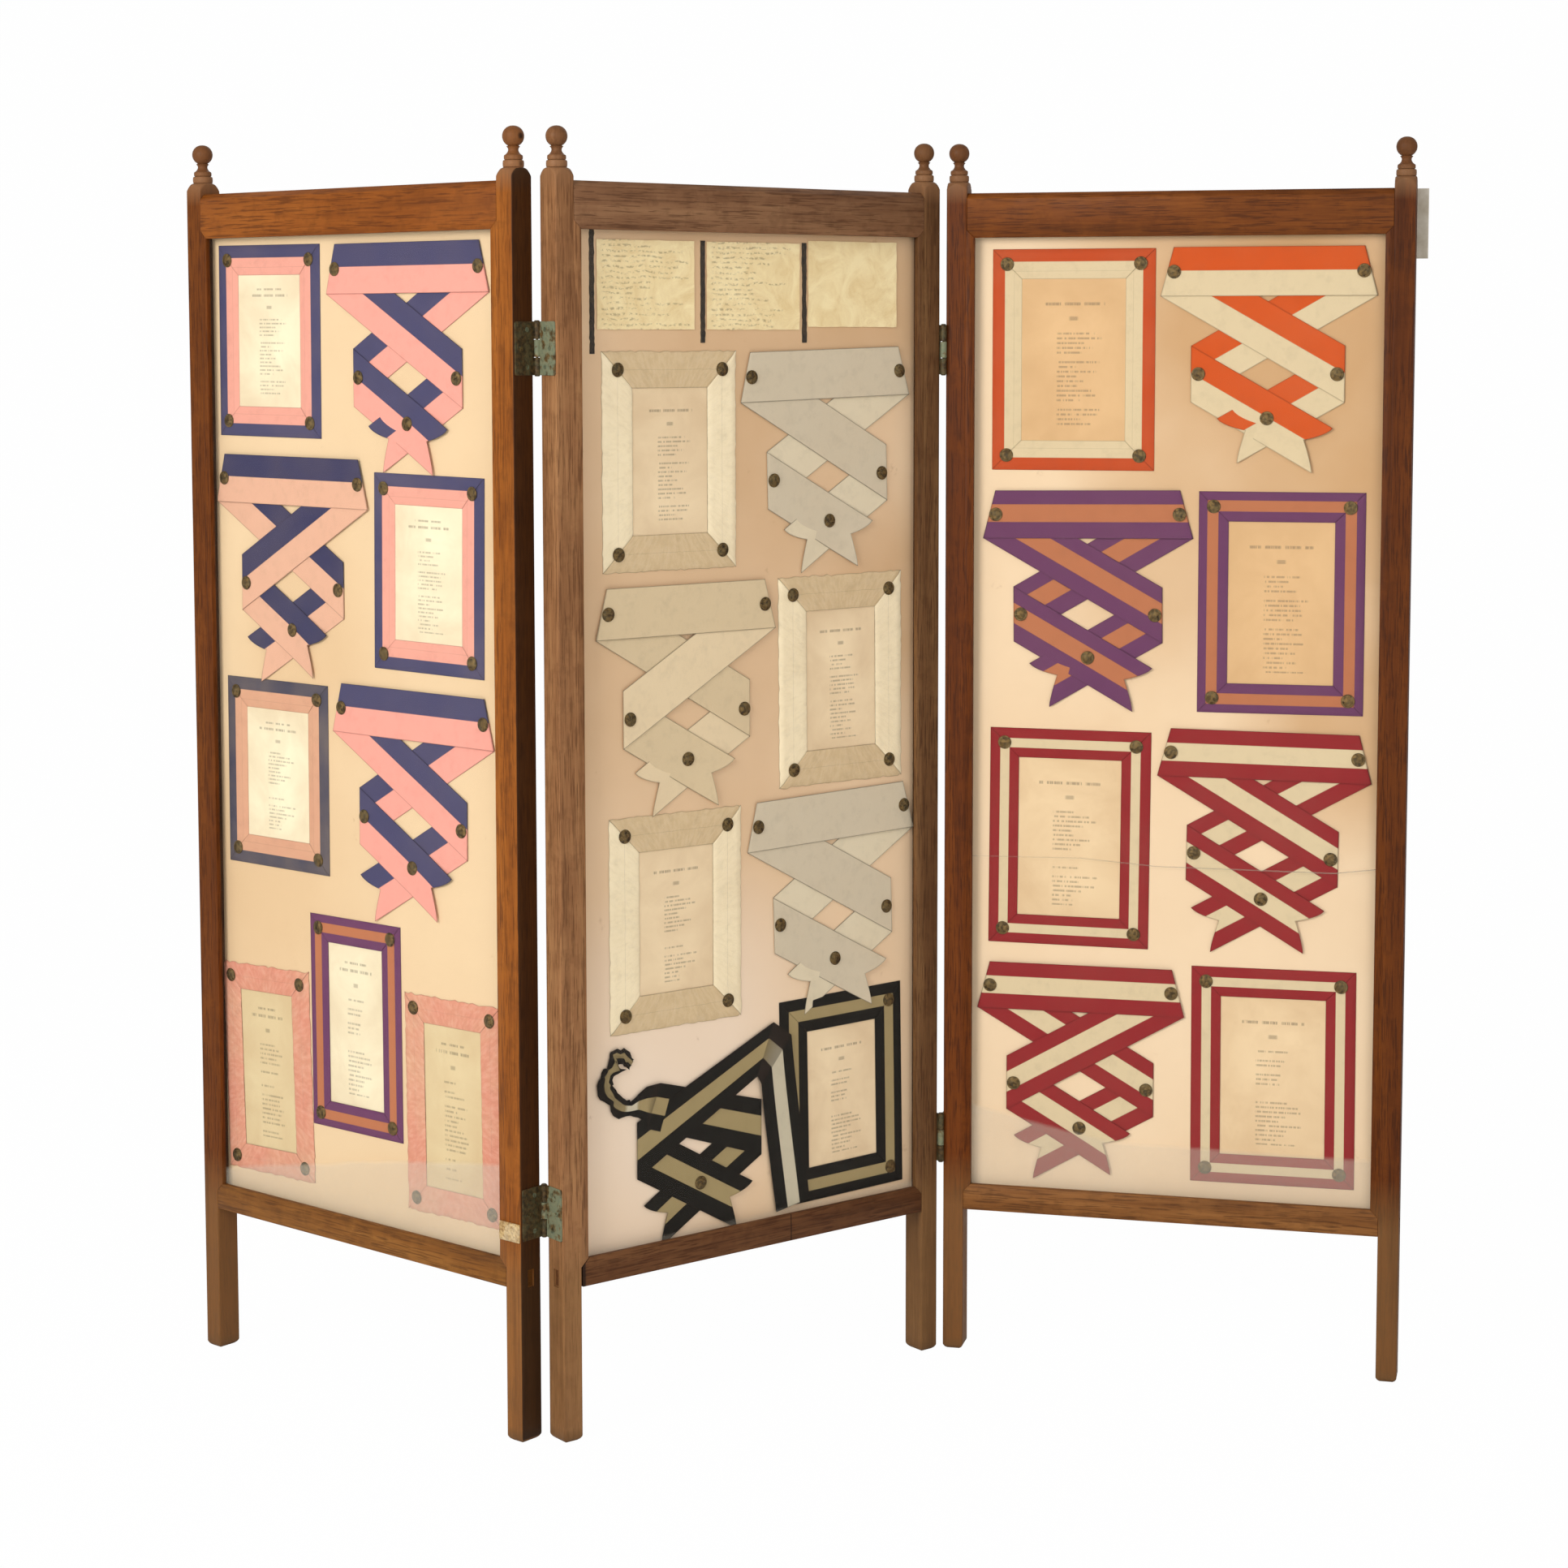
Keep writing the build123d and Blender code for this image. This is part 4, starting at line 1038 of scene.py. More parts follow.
@dataclass
class Post:
    """A post with its foot, glass lip, through mortise and turned top.

    Attributes:
        leaf: the leaf that it is part of.
        on_left: whether it is the leaf's left post.
    """

    leaf: Leaf
    on_left: bool
    arris: float = 1.2
    foot_bevel: float = 4.6
    shoulder: float = RAIL_TOP + 3.0
    pommel_top: float = RAIL_TOP + 14.5
    mortise_bottom: float = LEG_HEIGHT + 1.4
    mortise_top: float = BAY_BOTTOM - 1.4
    mortise_width: float = 10.8

    @property
    def name(self) -> str:
        """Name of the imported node."""
        return f"{self.leaf.body}_{'left' if self.on_left else 'right'}_post"

    def section(self) -> list[Point]:
        """The shaft's outline about its centre, corners among its points."""
        half_x, half_y, ease = POST_WIDTH / 2, POST_DEPTH / 2, self.arris
        corners = []
        for turn, (sign_x, sign_y) in enumerate(((1, 1), (-1, 1), (-1, -1), (1, -1))):
            ends = [(half_x, half_y - ease), (half_x - ease * 0.3, half_y - ease * 0.3), (half_x - ease, half_y)]
            if turn % 2:
                ends.reverse()
            corners.extend((sign_x * x, sign_y * y) for x, y in ends)
        points = []
        for number, corner in enumerate(corners):
            following = corners[(number + 1) % len(corners)]
            points.append(corner)
            gap = math.dist(corner, following)
            steps = 12 if gap > 5 else 1
            for step in range(1, steps):
                share = step / steps
                points.append(
                    (corner[0] + (following[0] - corner[0]) * share, corner[1] + (following[1] - corner[1]) * share)
                )
        return points

    def outline(self) -> list[tuple[float, float, float]]:
        """Height, largest radius and inset of the shaft, from the sole to the crown."""
        free = 60.0
        rows = [(0.0, free, self.foot_bevel), (self.foot_bevel * 0.45, free, self.foot_bevel * 0.42)]
        rows += [(self.foot_bevel, free, 0.35), (self.foot_bevel + 1.5, free, 0.0)]
        rows += [(60.0 + 72.5 * step, free, 0.0) for step in range(21)]
        half_diagonal = math.hypot(POST_WIDTH, POST_DEPTH) / 2
        rise = self.pommel_top - self.shoulder
        for step in range(9):
            share = step / 8
            bulge = math.sqrt(1 - share**2)
            rows.append((self.shoulder + rise * share, 12.4 + (half_diagonal - 12.4) * (0.55 * bulge + 0.45 * (1 - share)), 0.0))
        foot = self.pommel_top
        turned = [(0.0, 11.1), (0.5, 12.1), (1.8, 12.5), (4.3, 12.6), (6.8, 12.5), (8.1, 12.1), (8.6, 11.1), (8.9, 9.9)]
        turned += [(9.3, 10.6), (10.4, 11.15), (12.0, 11.2), (13.6, 11.1), (14.6, 10.5), (15.0, 9.6)]
        turned += [(16.4, 8.0), (18.4, 6.6), (20.3, 6.05), (22.0, 6.2), (23.4, 7.0), (24.5, 8.2)]
        ball_centre, ball_half = 36.6, 12.4
        for step in range(1, 15):
            angle = math.radians(-74 + 162 * step / 15)
            turned.append((ball_centre + ball_half * math.sin(angle), 13.0 * math.cos(angle) ** 0.92))
        turned.append((49.0, 0.4))
        rows += [(foot + height, radius, 0.0) for height, radius in turned]
        return rows

    def draft(self) -> Draft:
        """The post's mesh, as a left post."""
        centre = (POST_WIDTH / 2, POST_DEPTH / 2)
        section = self.section()
        rng = random.Random(len(self.name) + 7 * self.leaf.value.turn)
        shift = rng.uniform(0, 40)
        rings = []
        for height, radius, inset in self.outline():
            ring = []
            for x, y in section:
                x *= 1 - inset / (POST_WIDTH / 2)
                y *= 1 - inset / (POST_DEPTH / 2)
                far = math.hypot(x, y)
                pull = min(1.0, radius / far)
                wear = 0.0
                if radius > 30:
                    wear = 0.12 * noise.noise(Vector((x * 0.2, y * 0.2, height * 0.012 + shift)))
                ring.append((centre[0] + x * pull + wear, centre[1] + y * pull, height))
            rings.append(ring)
        made = Draft()
        start = made.rows(rings, closed=True)
        made.fan(range(start, start + len(section)))
        last = start + (len(rings) - 1) * len(section)
        made.fan(range(last, last + len(section)))
        return made

    def lip(self) -> Draft:
        """The glass lip, mitred at both ends."""
        inner, start = BAY_LEFT + LIP_WIDTH, BAY_LEFT - self.arris
        made = Draft()
        outline = [
            (start, BAY_BOTTOM),
            (BAY_LEFT, BAY_BOTTOM),
            (inner, BAY_BOTTOM + LIP_WIDTH),
            (inner, BAY_TOP - LIP_WIDTH),
            (BAY_LEFT, BAY_TOP),
            (start, BAY_TOP),
        ]
        made.prism(outline, 0.0, LIP_DEPTH)
        return made

    def build(self, shop: Workshop) -> bpy.types.Object:
        """Makes the post, cuts its mortise and hands it over."""
        body = self.leaf.value
        shaft = self.draft()
        lip = self.lip()
        if not self.on_left:
            for made in (shaft, lip):
                made.points = [(LEAF_WIDTH - x, y, z) for x, y, z in made.points]
        piece = shaft.mesh(f"{self.name}_turned", body)
        pocket = Draft()
        near, far = (-3.0, 2.6) if self.on_left else (LEAF_WIDTH - 2.6, LEAF_WIDTH + 3.0)
        side = [(near, self.mortise_bottom), (far, self.mortise_bottom), (far, self.mortise_top), (near, self.mortise_top)]
        pocket.prism(side, (POST_DEPTH - self.mortise_width) / 2, (POST_DEPTH + self.mortise_width) / 2)
        cutter = pocket.mesh("mortise", body)
        cut = piece.modifiers.new("mortise", "BOOLEAN")
        cut.operation = "DIFFERENCE"
        cut.object = cutter
        cut.solver = "EXACT"
        settle(piece)
        bpy.data.objects.remove(cutter)
        strip = lip.mesh("lip", body)
        bevel = strip.modifiers.new("eased", "BEVEL")
        bevel.width, bevel.segments, bevel.limit_method = 0.7 * MM, 2, "ANGLE"
        settle(strip)
        join([piece, strip])
        smooth(piece, 30)
        return shop.hand_over(piece, body.body, "oak", oak(self.leaf, "left_post" if self.on_left else "right_post"), [self.name])


def join(pieces: Sequence[bpy.types.Object]) -> bpy.types.Object:
    """Joins pieces into the first of them."""
    draft = bmesh.new()
    for piece in pieces:
        draft.from_mesh(piece.data)
    draft.to_mesh(pieces[0].data)
    draft.free()
    for piece in pieces[1:]:
        bpy.data.objects.remove(piece)
    return pieces[0]


@dataclass
class Frame:
    """The two posts and two rails of a leaf."""

    leaf: Leaf

    def build(self, shop: Workshop) -> None:
        """Makes the posts and eases the rails."""
        for on_left in (True, False):
            Post(self.leaf, on_left).build(shop)
        stance = self.leaf.value
        for rail in ("top_rail", "bottom_rail"):
            finish = oak(self.leaf, rail)
            node = f"{stance.body}_{rail}"
            piece = shop.eased(node, 0.8 if rail == "bottom_rail" else 1.2, f"{node}_eased")
            shop.hand_over(piece, stance.body, "oak", finish, [node])


# Ribbons


@dataclass
class Strip:
    """A ribbon laid in one continuous run of rows from end to end.

    Attributes:
        rows: for each row, the points across the ribbon from its first edge to its other.
        along: how far along the ribbon each row is, in millimetres.
        shades: for each row, how much painted shade it takes near a fold, a mitre or in a crumple, and how far it has
            turned to its other colours.
    """

    rows: list[list[tuple[float, float, float]]] = field(default_factory=list)
    along: list[float] = field(default_factory=list)
    shades: list[Point] = field(default_factory=list)

    def run(self, rows: Sequence[list[tuple[float, float, float]]], turned: float = 0.0, joined: bool = True) -> None:
        """Adds the rows of a run, whose first row is left out if it is the last run's last one."""
        folded = bool(self.rows)
        for number, row in enumerate(rows):
            if number == 0 and folded and joined:
                continue
            end = min(number, len(rows) - 1 - number)
            # Rows next to a fold take painted shade, most at the fold itself.
            self.add(row, (1.0, 0.55, 0.12)[end] if end < 3 else 0.0, turned)

    def add(self, row: list[tuple[float, float, float]], painted_shade: float = 0.0, turned: float = 0.0) -> None:
        """Adds a row after the last."""
        self.shades.append((painted_shade, turned))
        if self.rows:
            middle = len(row) // 2
            step = math.dist(row[middle], self.rows[-1][middle])
            self.along.append(self.along[-1] + step)
        else:
            self.along.append(0.0)
        self.rows.append(row)

    def piece(self, name: str, stance: Stance, thickness: float = 0.4) -> bpy.types.Object:
        """The ribbon as a thin closed piece."""
        made = Draft()
        made.rows(self.rows)
        wide = len(self.rows[0])
        for number, (row, far) in enumerate(zip(self.rows, self.along)):
            for column in range(wide):
                made.uvs[number * wide + column] = (far * MM, column / (wide - 1))
                made.shades[number * wide + column] = self.shades[number]
        sheet = made.mesh(name, stance, keep_open=True)
        solid = sheet.modifiers.new("thickness", "SOLIDIFY")
        solid.thickness = thickness * MM
        solid.offset = 0
        solid.use_even_offset = False
        settle(sheet)
        face_outwards(sheet)
        smooth(sheet, 50)
        return sheet

    @property
    def length(self) -> float:
        """Length of the ribbon in millimetres."""
        return self.along[-1]


def ripple(x: float, z: float, seed: float) -> float:
    """Gentle unevenness of whatever lies on the mount at a place, in millimetres."""
    broad = noise.noise(Vector((x * 0.011, z * 0.011, seed)))
    close = noise.noise(Vector((x * 0.04, z * 0.04, seed + 9)))
    return 0.34 * broad + 0.14 * close


@dataclass
class FoldedRibbon:
    """A ribbon folded into a bar, two crossed limbs and two tails.

    Attributes:
        name: the piece's name.
        place: shares of the bay at the middle of the bar's lower edge.
        left_tail: how far the left tail reaches down its slope, in millimetres.
        right_tail: the same on the right.
        dye: its ribbon.
        half_bar: half the length of the bar's lower edge.
        rising_over: whether the limb that rises to the right lies over the other.
        tilt: how far the whole has slipped round, in degrees.
    """

    name: str
    place: Point
    left_tail: float
    right_tail: float
    dye: Dye
    half_bar: float = 136.0
    rising_over: bool = False
    tilt: float = 0.0
    slope: float = math.radians(30)
    half_folds: float = 96.5
    notch: float = 30.0
    base: float = 0.9
    pitch: float = 1.08
    columns: int = 12

    @property
    def drop(self) -> float:
        """How far below the bar's lower edge the limbs' lower edges are at their folds."""
        return (self.half_bar + self.half_folds) * math.tan(self.slope)

    @property
    def end_run(self) -> float:
        """How far the bar's upper corners stand in from its lower ones."""
        return RIBBON_WIDTH / math.tan(math.radians(75))

    @property
    def rise(self) -> float:
        """Upright width of a sloping limb."""
        return RIBBON_WIDTH / math.cos(self.slope)

    @property
    def layers(self) -> tuple[int, int]:
        """Layers of the rising limb and of the bar, counted from the mount."""
        return (2, 3) if self.rising_over else (0, 2)

    def seat(self, layer: int) -> float:
        """Height over the mount of the top of a layer."""
        return self.base + layer * self.pitch + 0.25

    def fold_lines(self) -> list[tuple[Point, Point]]:
        """Upper and lower ends of the four folds, from the left tail to the right one."""
        lower = -self.drop
        upper = self.rise - self.drop
        reach, corner = self.half_bar, self.half_bar - self.end_run
        return [
            ((self.half_folds, upper), (self.half_folds, lower)),
            ((-corner, RIBBON_WIDTH), (-reach, 0.0)),
            ((corner, RIBBON_WIDTH), (reach, 0.0)),
            ((-self.half_folds, upper), (-self.half_folds, lower)),
        ]

    def tail_end(self, side: int, reach: float, share: float) -> Point:
        """Where a tail is cut, at a share across the ribbon from its upper edge."""
        along = (side * math.cos(self.slope), -math.sin(self.slope))
        across = (side * math.sin(self.slope), math.cos(self.slope))
        low = -side * self.half_folds * across[0] - self.drop * across[1]
        off_notch = abs(2 * share - 1)
        if share < 0.5:
            cut = self.notch * (0.2 + 0.8 * (1 - off_notch) ** 1.5)
        else:
            cut = self.notch * (1 - off_notch) ** 1.15
        run = reach - cut
        up = low + RIBBON_WIDTH * (1 - share)
        return (run * along[0] + up * across[0], run * along[1] + up * across[1])

    def run_rows(
        self, start: Callable[[float], Point], end: Callable[[float], Point], layer: float, before: float, after: float
    ) -> list[list[tuple[float, float, float]]]:
        """Rows of one flat run between two folds or ends.

        Args:
            start: point of the run's start at a share across.
            end: point of its end at a share across.
            layer: the layer that it lies in.
            before: the layer at its start's fold.
            after: the layer at its end's fold.

        Returns:
            Rows of leaf points.
        """
        length = max(math.dist(start(0.5), end(0.5)), 1.0)
        lead = [0.0, 0.5, 1.2, 2.2, 3.6]
        steps = max(4, round(length / 6))
        stations = lead + [length * step / steps for step in range(1, steps)] + [length - gap for gap in reversed(lead)]
        stations = sorted({round(station, 3) for station in stations if 0 <= station <= length})
        place_x, place_z = on_mount(self.place)
        turn = math.radians(self.tilt)
        seed = sum(ord(letter) for letter in self.name) * 0.37
        ease = 3.2
        rows = []
        for station in stations:
            share_along = station / length
            row = []
            for column in range(self.columns + 1):
                share = column / self.columns
                first, last = start(share), end(share)
                x = first[0] + (last[0] - first[0]) * share_along
                z = first[1] + (last[1] - first[1]) * share_along
                level = layer
                if station < ease and before != layer:
                    lift = math.sqrt(max(0.0, 1 - (1 - station / ease) ** 2))
                    level = (layer + before) / 2 + (layer - before) / 2 * lift
                if length - station < ease and after != layer:
                    lift = math.sqrt(max(0.0, 1 - (1 - (length - station) / ease) ** 2))
                    level = (layer + after) / 2 + (layer - after) / 2 * lift
                turned_x = x * math.cos(turn) - z * math.sin(turn)
                turned_z = x * math.sin(turn) + z * math.cos(turn)
                height = self.base + level * self.pitch
                height += ripple(place_x + turned_x, place_z + turned_z, seed)
                if not (before == layer and share_along < 0.5) and not (after == layer and share_along > 0.5):
                    curl = 0.0
                else:
                    far = (1 - share_along) if before == layer else share_along
                    curl = 14.0 * max(0.0, far - 0.6) ** 2
                height += curl
                row.append((place_x + turned_x, MOUNT_FACE - height, place_z + turned_z))
            rows.append(row)
        return rows

    def across(self, line: tuple[Point, Point]) -> Callable[[float], Point]:
        """Point of a fold line at a share across the ribbon."""
        upper, lower = line
        return lambda share: (upper[0] + (lower[0] - upper[0]) * share, upper[1] + (lower[1] - upper[1]) * share)

    def strip(self) -> Strip:
        """The whole ribbon."""
        right_fold, left_end, right_end, left_fold = (self.across(line) for line in self.fold_lines())
        rising, bar = self.layers
        left_tip = lambda share: self.tail_end(-1, self.left_tail, share)
        right_tip = lambda share: self.tail_end(1, self.right_tail, share)
        runs = [
            (left_tip, right_fold, 0, 0, 1),
            (right_fold, left_end, 1, 0, bar),
            (left_end, right_end, bar, 1, rising),
            (right_end, left_fold, rising, bar, 1),
            (left_fold, right_tip, 1, rising, 1),
        ]
        made = Strip()
        for number, (start, end, layer, before, after) in enumerate(runs):
            made.run(self.run_rows(start, end, layer, before, after), 1.0 if number in (0, 3) else 0.0)
        return made

    def build(self, shop: Workshop, stance: Stance) -> None:
        strip = self.strip()
        piece = strip.piece(self.name, stance)
        node = f"{stance.body}_folded_ribbons"
        shop.hand_over(piece, stance.body, f"{stance.body}_ribbon", self.dye.value, [node])
        f"{stance.body}_mount_board"

    def button_places(self) -> list[tuple[float, float, float]]:
        """Leaf places of the buttons, with the height over the mount that each sits at."""
        x, z = on_mount(self.place)
        rising, bar = self.layers
        over = 2 if self.rising_over else 1
        reach = self.half_bar - self.end_run / 2 - 8.8
        fold_reach = self.half_folds - 9.4
        level = self.rise / 2 - self.drop
        crossing = level - self.half_folds * math.tan(self.slope)
        places = [(0.0, crossing, self.seat(1))]
        places += [(side * reach, RIBBON_WIDTH / 2, self.seat(bar)) for side in (-1, 1)]
        places += [(-fold_reach, level, self.seat(over)), (fold_reach, level, self.seat(1))]
        turn = math.radians(self.tilt)
        return [
            (x + a * math.cos(turn) - b * math.sin(turn), z + a * math.sin(turn) + b * math.cos(turn), height)
            for a, b, height in places
        ]


@dataclass
class FallenRibbon(FoldedRibbon):
    """A folded ribbon whose bar has dropped: one end hangs from its right fold, the other has rolled up."""

    def rolled_rows(self) -> Strip:
        """The loose left end, crumpled into a hook, outer end first."""
        x0, z0 = on_mount(self.place)
        path = [(-104.0, 12.0), (-116.0, 24.0), (-132.0, 25.0), (-127.0, 10.0), (-141.0, 2.0), (-143.0, -16.0)]
        path += [(-132.0, -30.0), (-120.0, -42.0), (-106.0, -44.0), (-94.0, -42.0), (-82.0, -44.0)]
        widths = [10.0, 22.0, 15.0, 30.0, 20.0, 26.0, 16.0, 26.0, 18.0, 30.0, 48.0]
        made = Strip()
        steps = 3
        for step in range((len(path) - 1) * steps + 1):
            place = step / steps
            low = min(int(place), len(path) - 2)
            part = place - low
            here, there = path[low], path[low + 1]
            x, z = (here[axis] + (there[axis] - here[axis]) * part for axis in (0, 1))
            width = widths[low] + (widths[low + 1] - widths[low]) * part
            ahead = path[min(low + 2, len(path) - 1)]
            course = (ahead[0] - path[max(low - 1, 0)][0], ahead[1] - path[max(low - 1, 0)][1])
            length = math.hypot(*course)
            side = (-course[1] / length, course[0] / length)
            loose = min(1.0, max(0.0, (9.5 - place) / 3))
            row = []
            for column in range(self.columns + 1):
                share = column / self.columns
                offset = (0.5 - share) * width
                crumple = noise.noise_vector(Vector((place * 1.9, share * 3.3, 4.0))) * loose
                pleat = abs((share * 3 + place * 0.21) % 1 - 0.5) * 2
                height = 3.2 + 2.0 * loose * (pleat - 0.5) + 1.6 * crumple.z
                row.append(
                    (x0 + x + side[0] * offset + 4.5 * crumple.x, MOUNT_FACE - height, z0 + z + side[1] * offset + 4.5 * crumple.y)
                )
            pale = 1.0 if 7.6 < place < 9.0 else 0.0
            # Crumpled rows take painted shade, all but the pale rows near the end.
            made.add(row, (0.5 + 0.5 * noise.noise(Vector((place * 1.3, 2.0, 1.0)))) * (1 - pale) * loose, pale)
        return made

    def build(self, shop: Workshop, stance: Stance) -> None:
        """Makes the two lengths that the ribbon has come apart into."""
        right_fold, _, _, left_fold = (self.across(line) for line in self.fold_lines())
        left_tip = lambda share: self.tail_end(-1, self.left_tail, share)
        right_tip = lambda share: self.tail_end(1, self.right_tail, share)
        loose = self.across(((-62.0, -18.0), (-84.0, -72.0)))
        apex = self.across(((115.0, 34.0), (89.0, -32.0)))
        shoulder = self.across(((141.0, 15.0), (93.0, -42.0)))
        hem = self.across(((172.0, -203.0), (118.0, -212.0)))
        lower = self.rolled_rows()
        lower.run(self.run_rows(loose, right_fold, 1, 1, 0), joined=False)
        lower.run(self.run_rows(right_fold, left_tip, 0, 1, 0))
        upper = Strip()
        upper.run(self.run_rows(shoulder, hem, 3, 3, 3)[::-1], 1.0)
        upper.run(self.run_rows(apex, left_fold, 2, 3, 1), joined=False)
        upper.run(self.run_rows(left_fold, right_tip, 1, 2, 1))
        node = f"{stance.body}_folded_ribbons"
        for part, strip in (("rolled", lower), ("hanging", upper)):
            piece = strip.piece(f"{self.name}_{part}", stance)
            shop.hand_over(piece, stance.body, f"{stance.body}_ribbon", self.dye.value, [node])
            f"{stance.body}_mount_board"

    def button_places(self) -> list[tuple[float, float, float]]:
        """Only the button at the crossing of the tails is left."""
        return super().button_places()[:1]


class CardShape(Enum):
    """Width and height of a card and width of its ribbon border, in millimetres."""

    SMALL = (118.0, 167.0, 38.0)
    TALL = (100.0, 206.0, 34.0)
    SQUARE = (112.0, 178.0, 44.0)
    LARGE = (134.0, 207.0, 38.0)


@dataclass
class BorderedCard:
    """A card under a border of ribbon.

    Attributes:
        name: start of its pieces' names.
        shape: its size.
        place: shares of the bay at its middle.
        dye: its ribbon.
        bevelled: whether the border's inner part slopes down to the card.
        ruffled: whether the border's edges are gathered.
        tilt: how far it has slipped round, in degrees.
        loose_left: whether the buttons of its left side are gone.
    """

    name: str
    shape: CardShape
    place: Point
    dye: Dye
    bevelled: bool = True
    ruffled: bool = False
    tilt: float = 0.0
    loose_left: bool = False
    columns: int = 10
    top: float = 2.3

    def turned(self, x: float, z: float) -> Point:
        """Leaf place of a point given from the card's middle."""
        middle = on_mount(self.place)
        turn = math.radians(self.tilt)
        return (
            middle[0] + x * math.cos(turn) - z * math.sin(turn),
            middle[1] + x * math.sin(turn) + z * math.cos(turn),
        )

    def height_across(self, share: float) -> float:
        """Height of the border over the mount at a share across from its outer edge."""
        rise = min(1.0, share / 0.07) ** 0.6
        if self.bevelled and share > 0.74:
            return self.top - (self.top - 0.75) * (share - 0.74) / 0.26
        if share > 0.93:
            return self.top - 0.9 * (share - 0.93) / 0.07
        return 0.6 + (self.top - 0.6) * rise

    def border(self) -> Strip:
        """The border, from one lower corner round to the same."""
        width, height, border = self.shape.value
        outer = [(width / 2 + border, height / 2 + border), (width / 2, height / 2)]
        signs = [(-1, -1), (1, -1), (1, 1), (-1, 1), (-1, -1)]
        seed = sum(ord(letter) for letter in self.name) * 0.53
        made = Strip()
        for number in range(4):
            from_sign, to_sign = signs[number], signs[number + 1]
            length = math.dist(
                [from_sign[axis] * outer[0][axis] for axis in (0, 1)], [to_sign[axis] * outer[0][axis] for axis in (0, 1)]
            )
            steps = round(length / 6)
            stations = sorted({0.0, 0.5 / length, 1.4 / length, 1 - 1.4 / length, 1 - 0.5 / length, 1.0}
                              | {step / steps for step in range(1, steps)})
            level = -0.28 if number % 2 else 0.0
            for station in stations if number == 0 else stations[1:]:
                row = []
                near_mitre = min(station, 1 - station) * length
                for column in range(self.columns + 1):
                    share = column / self.columns
                    half = [outer[0][axis] + (outer[1][axis] - outer[0][axis]) * share for axis in (0, 1)]
                    x = (from_sign[0] + (to_sign[0] - from_sign[0]) * station) * half[0]
                    z = (from_sign[1] + (to_sign[1] - from_sign[1]) * station) * half[1]
                    rise = self.height_across(share) + level
                    if near_mitre < 1.0:
                        rise -= 0.6 * (1 - near_mitre)
                    if self.ruffled:
                        pucker = noise.noise(Vector((station * length * 0.22, number * 3.1, seed)))
                        rise += 0.55 * pucker * (abs(2 * share - 1) ** 2 + 0.25)
                        ragged = 1 + 0.018 * noise.noise(Vector((station * length * 0.3, number, seed + 4))) * (1 - share)
                        x, z = x * ragged, z * ragged
                    across_x, across_z = self.turned(x, z)
                    rise += 0.5 * ripple(across_x, across_z, seed)
                    row.append((across_x, MOUNT_FACE - max(rise, 0.35), across_z))
                # Rows near a mitre take painted shade; the side strips turn to the dye's other colours, which on the
                # ivory border are a painted highlight.
                made.add(row, max(0.0, 0.9 - near_mitre * 0.65), float(number % 2))
        return made

    def card(self, number: int) -> Draft:
        """The card itself, slightly cockled, with its pattern across its front."""
        width, height, _ = self.shape.value
        made = Draft()
        steps_x, steps_z = 10, 16
        seed = number * 2.3
        rows = []
        for layer in (0.0, 0.35):
            rows = []
            for step_z in range(steps_z + 1):
                row = []
                for step_x in range(steps_x + 1):
                    x = (step_x / steps_x - 0.5) * width
                    z = (step_z / steps_z - 0.5) * height
                    place = self.turned(x, z)
                    lift = 0.1 + layer + 0.12 * (1 + noise.noise(Vector((x * 0.02, z * 0.02, seed))))
                    row.append((place[0], MOUNT_FACE - lift, place[1]))
                rows.append(row)
            start = made.rows(rows)
            for step_z in range(steps_z + 1):
                for step_x in range(steps_x + 1):
                    where = start + step_z * (steps_x + 1) + step_x
                    share_x = min(max(step_x / steps_x, 0.001), 0.999)
                    made.uvs[where] = (number + share_x, step_z / steps_z)
        wide = steps_x + 1
        count = wide * (steps_z + 1)
        ring = list(range(wide)) + [row * wide + steps_x for row in range(1, steps_z + 1)]
        ring += [steps_z * wide + column for column in range(steps_x - 1, -1, -1)]
        ring += [row * wide for row in range(steps_z - 1, 0, -1)]
        for here, there in zip(ring, ring[1:] + ring[:1]):
            made.faces.append((here, there, there + count, here + count))
        return made

    def button_places(self) -> list[tuple[float, float, float]]:
        """Leaf places of the buttons, with the height over the mount that each sits at."""
        width, height, border = self.shape.value
        reach, up = width / 2 + border / 2, height / 2 + border / 2
        sides = (1,) if self.loose_left else (-1, 1)
        return [(*self.turned(side * reach, rise * up), self.top) for side in sides for rise in (-1, 1)]


# Buttons and screws, laid out by node trees


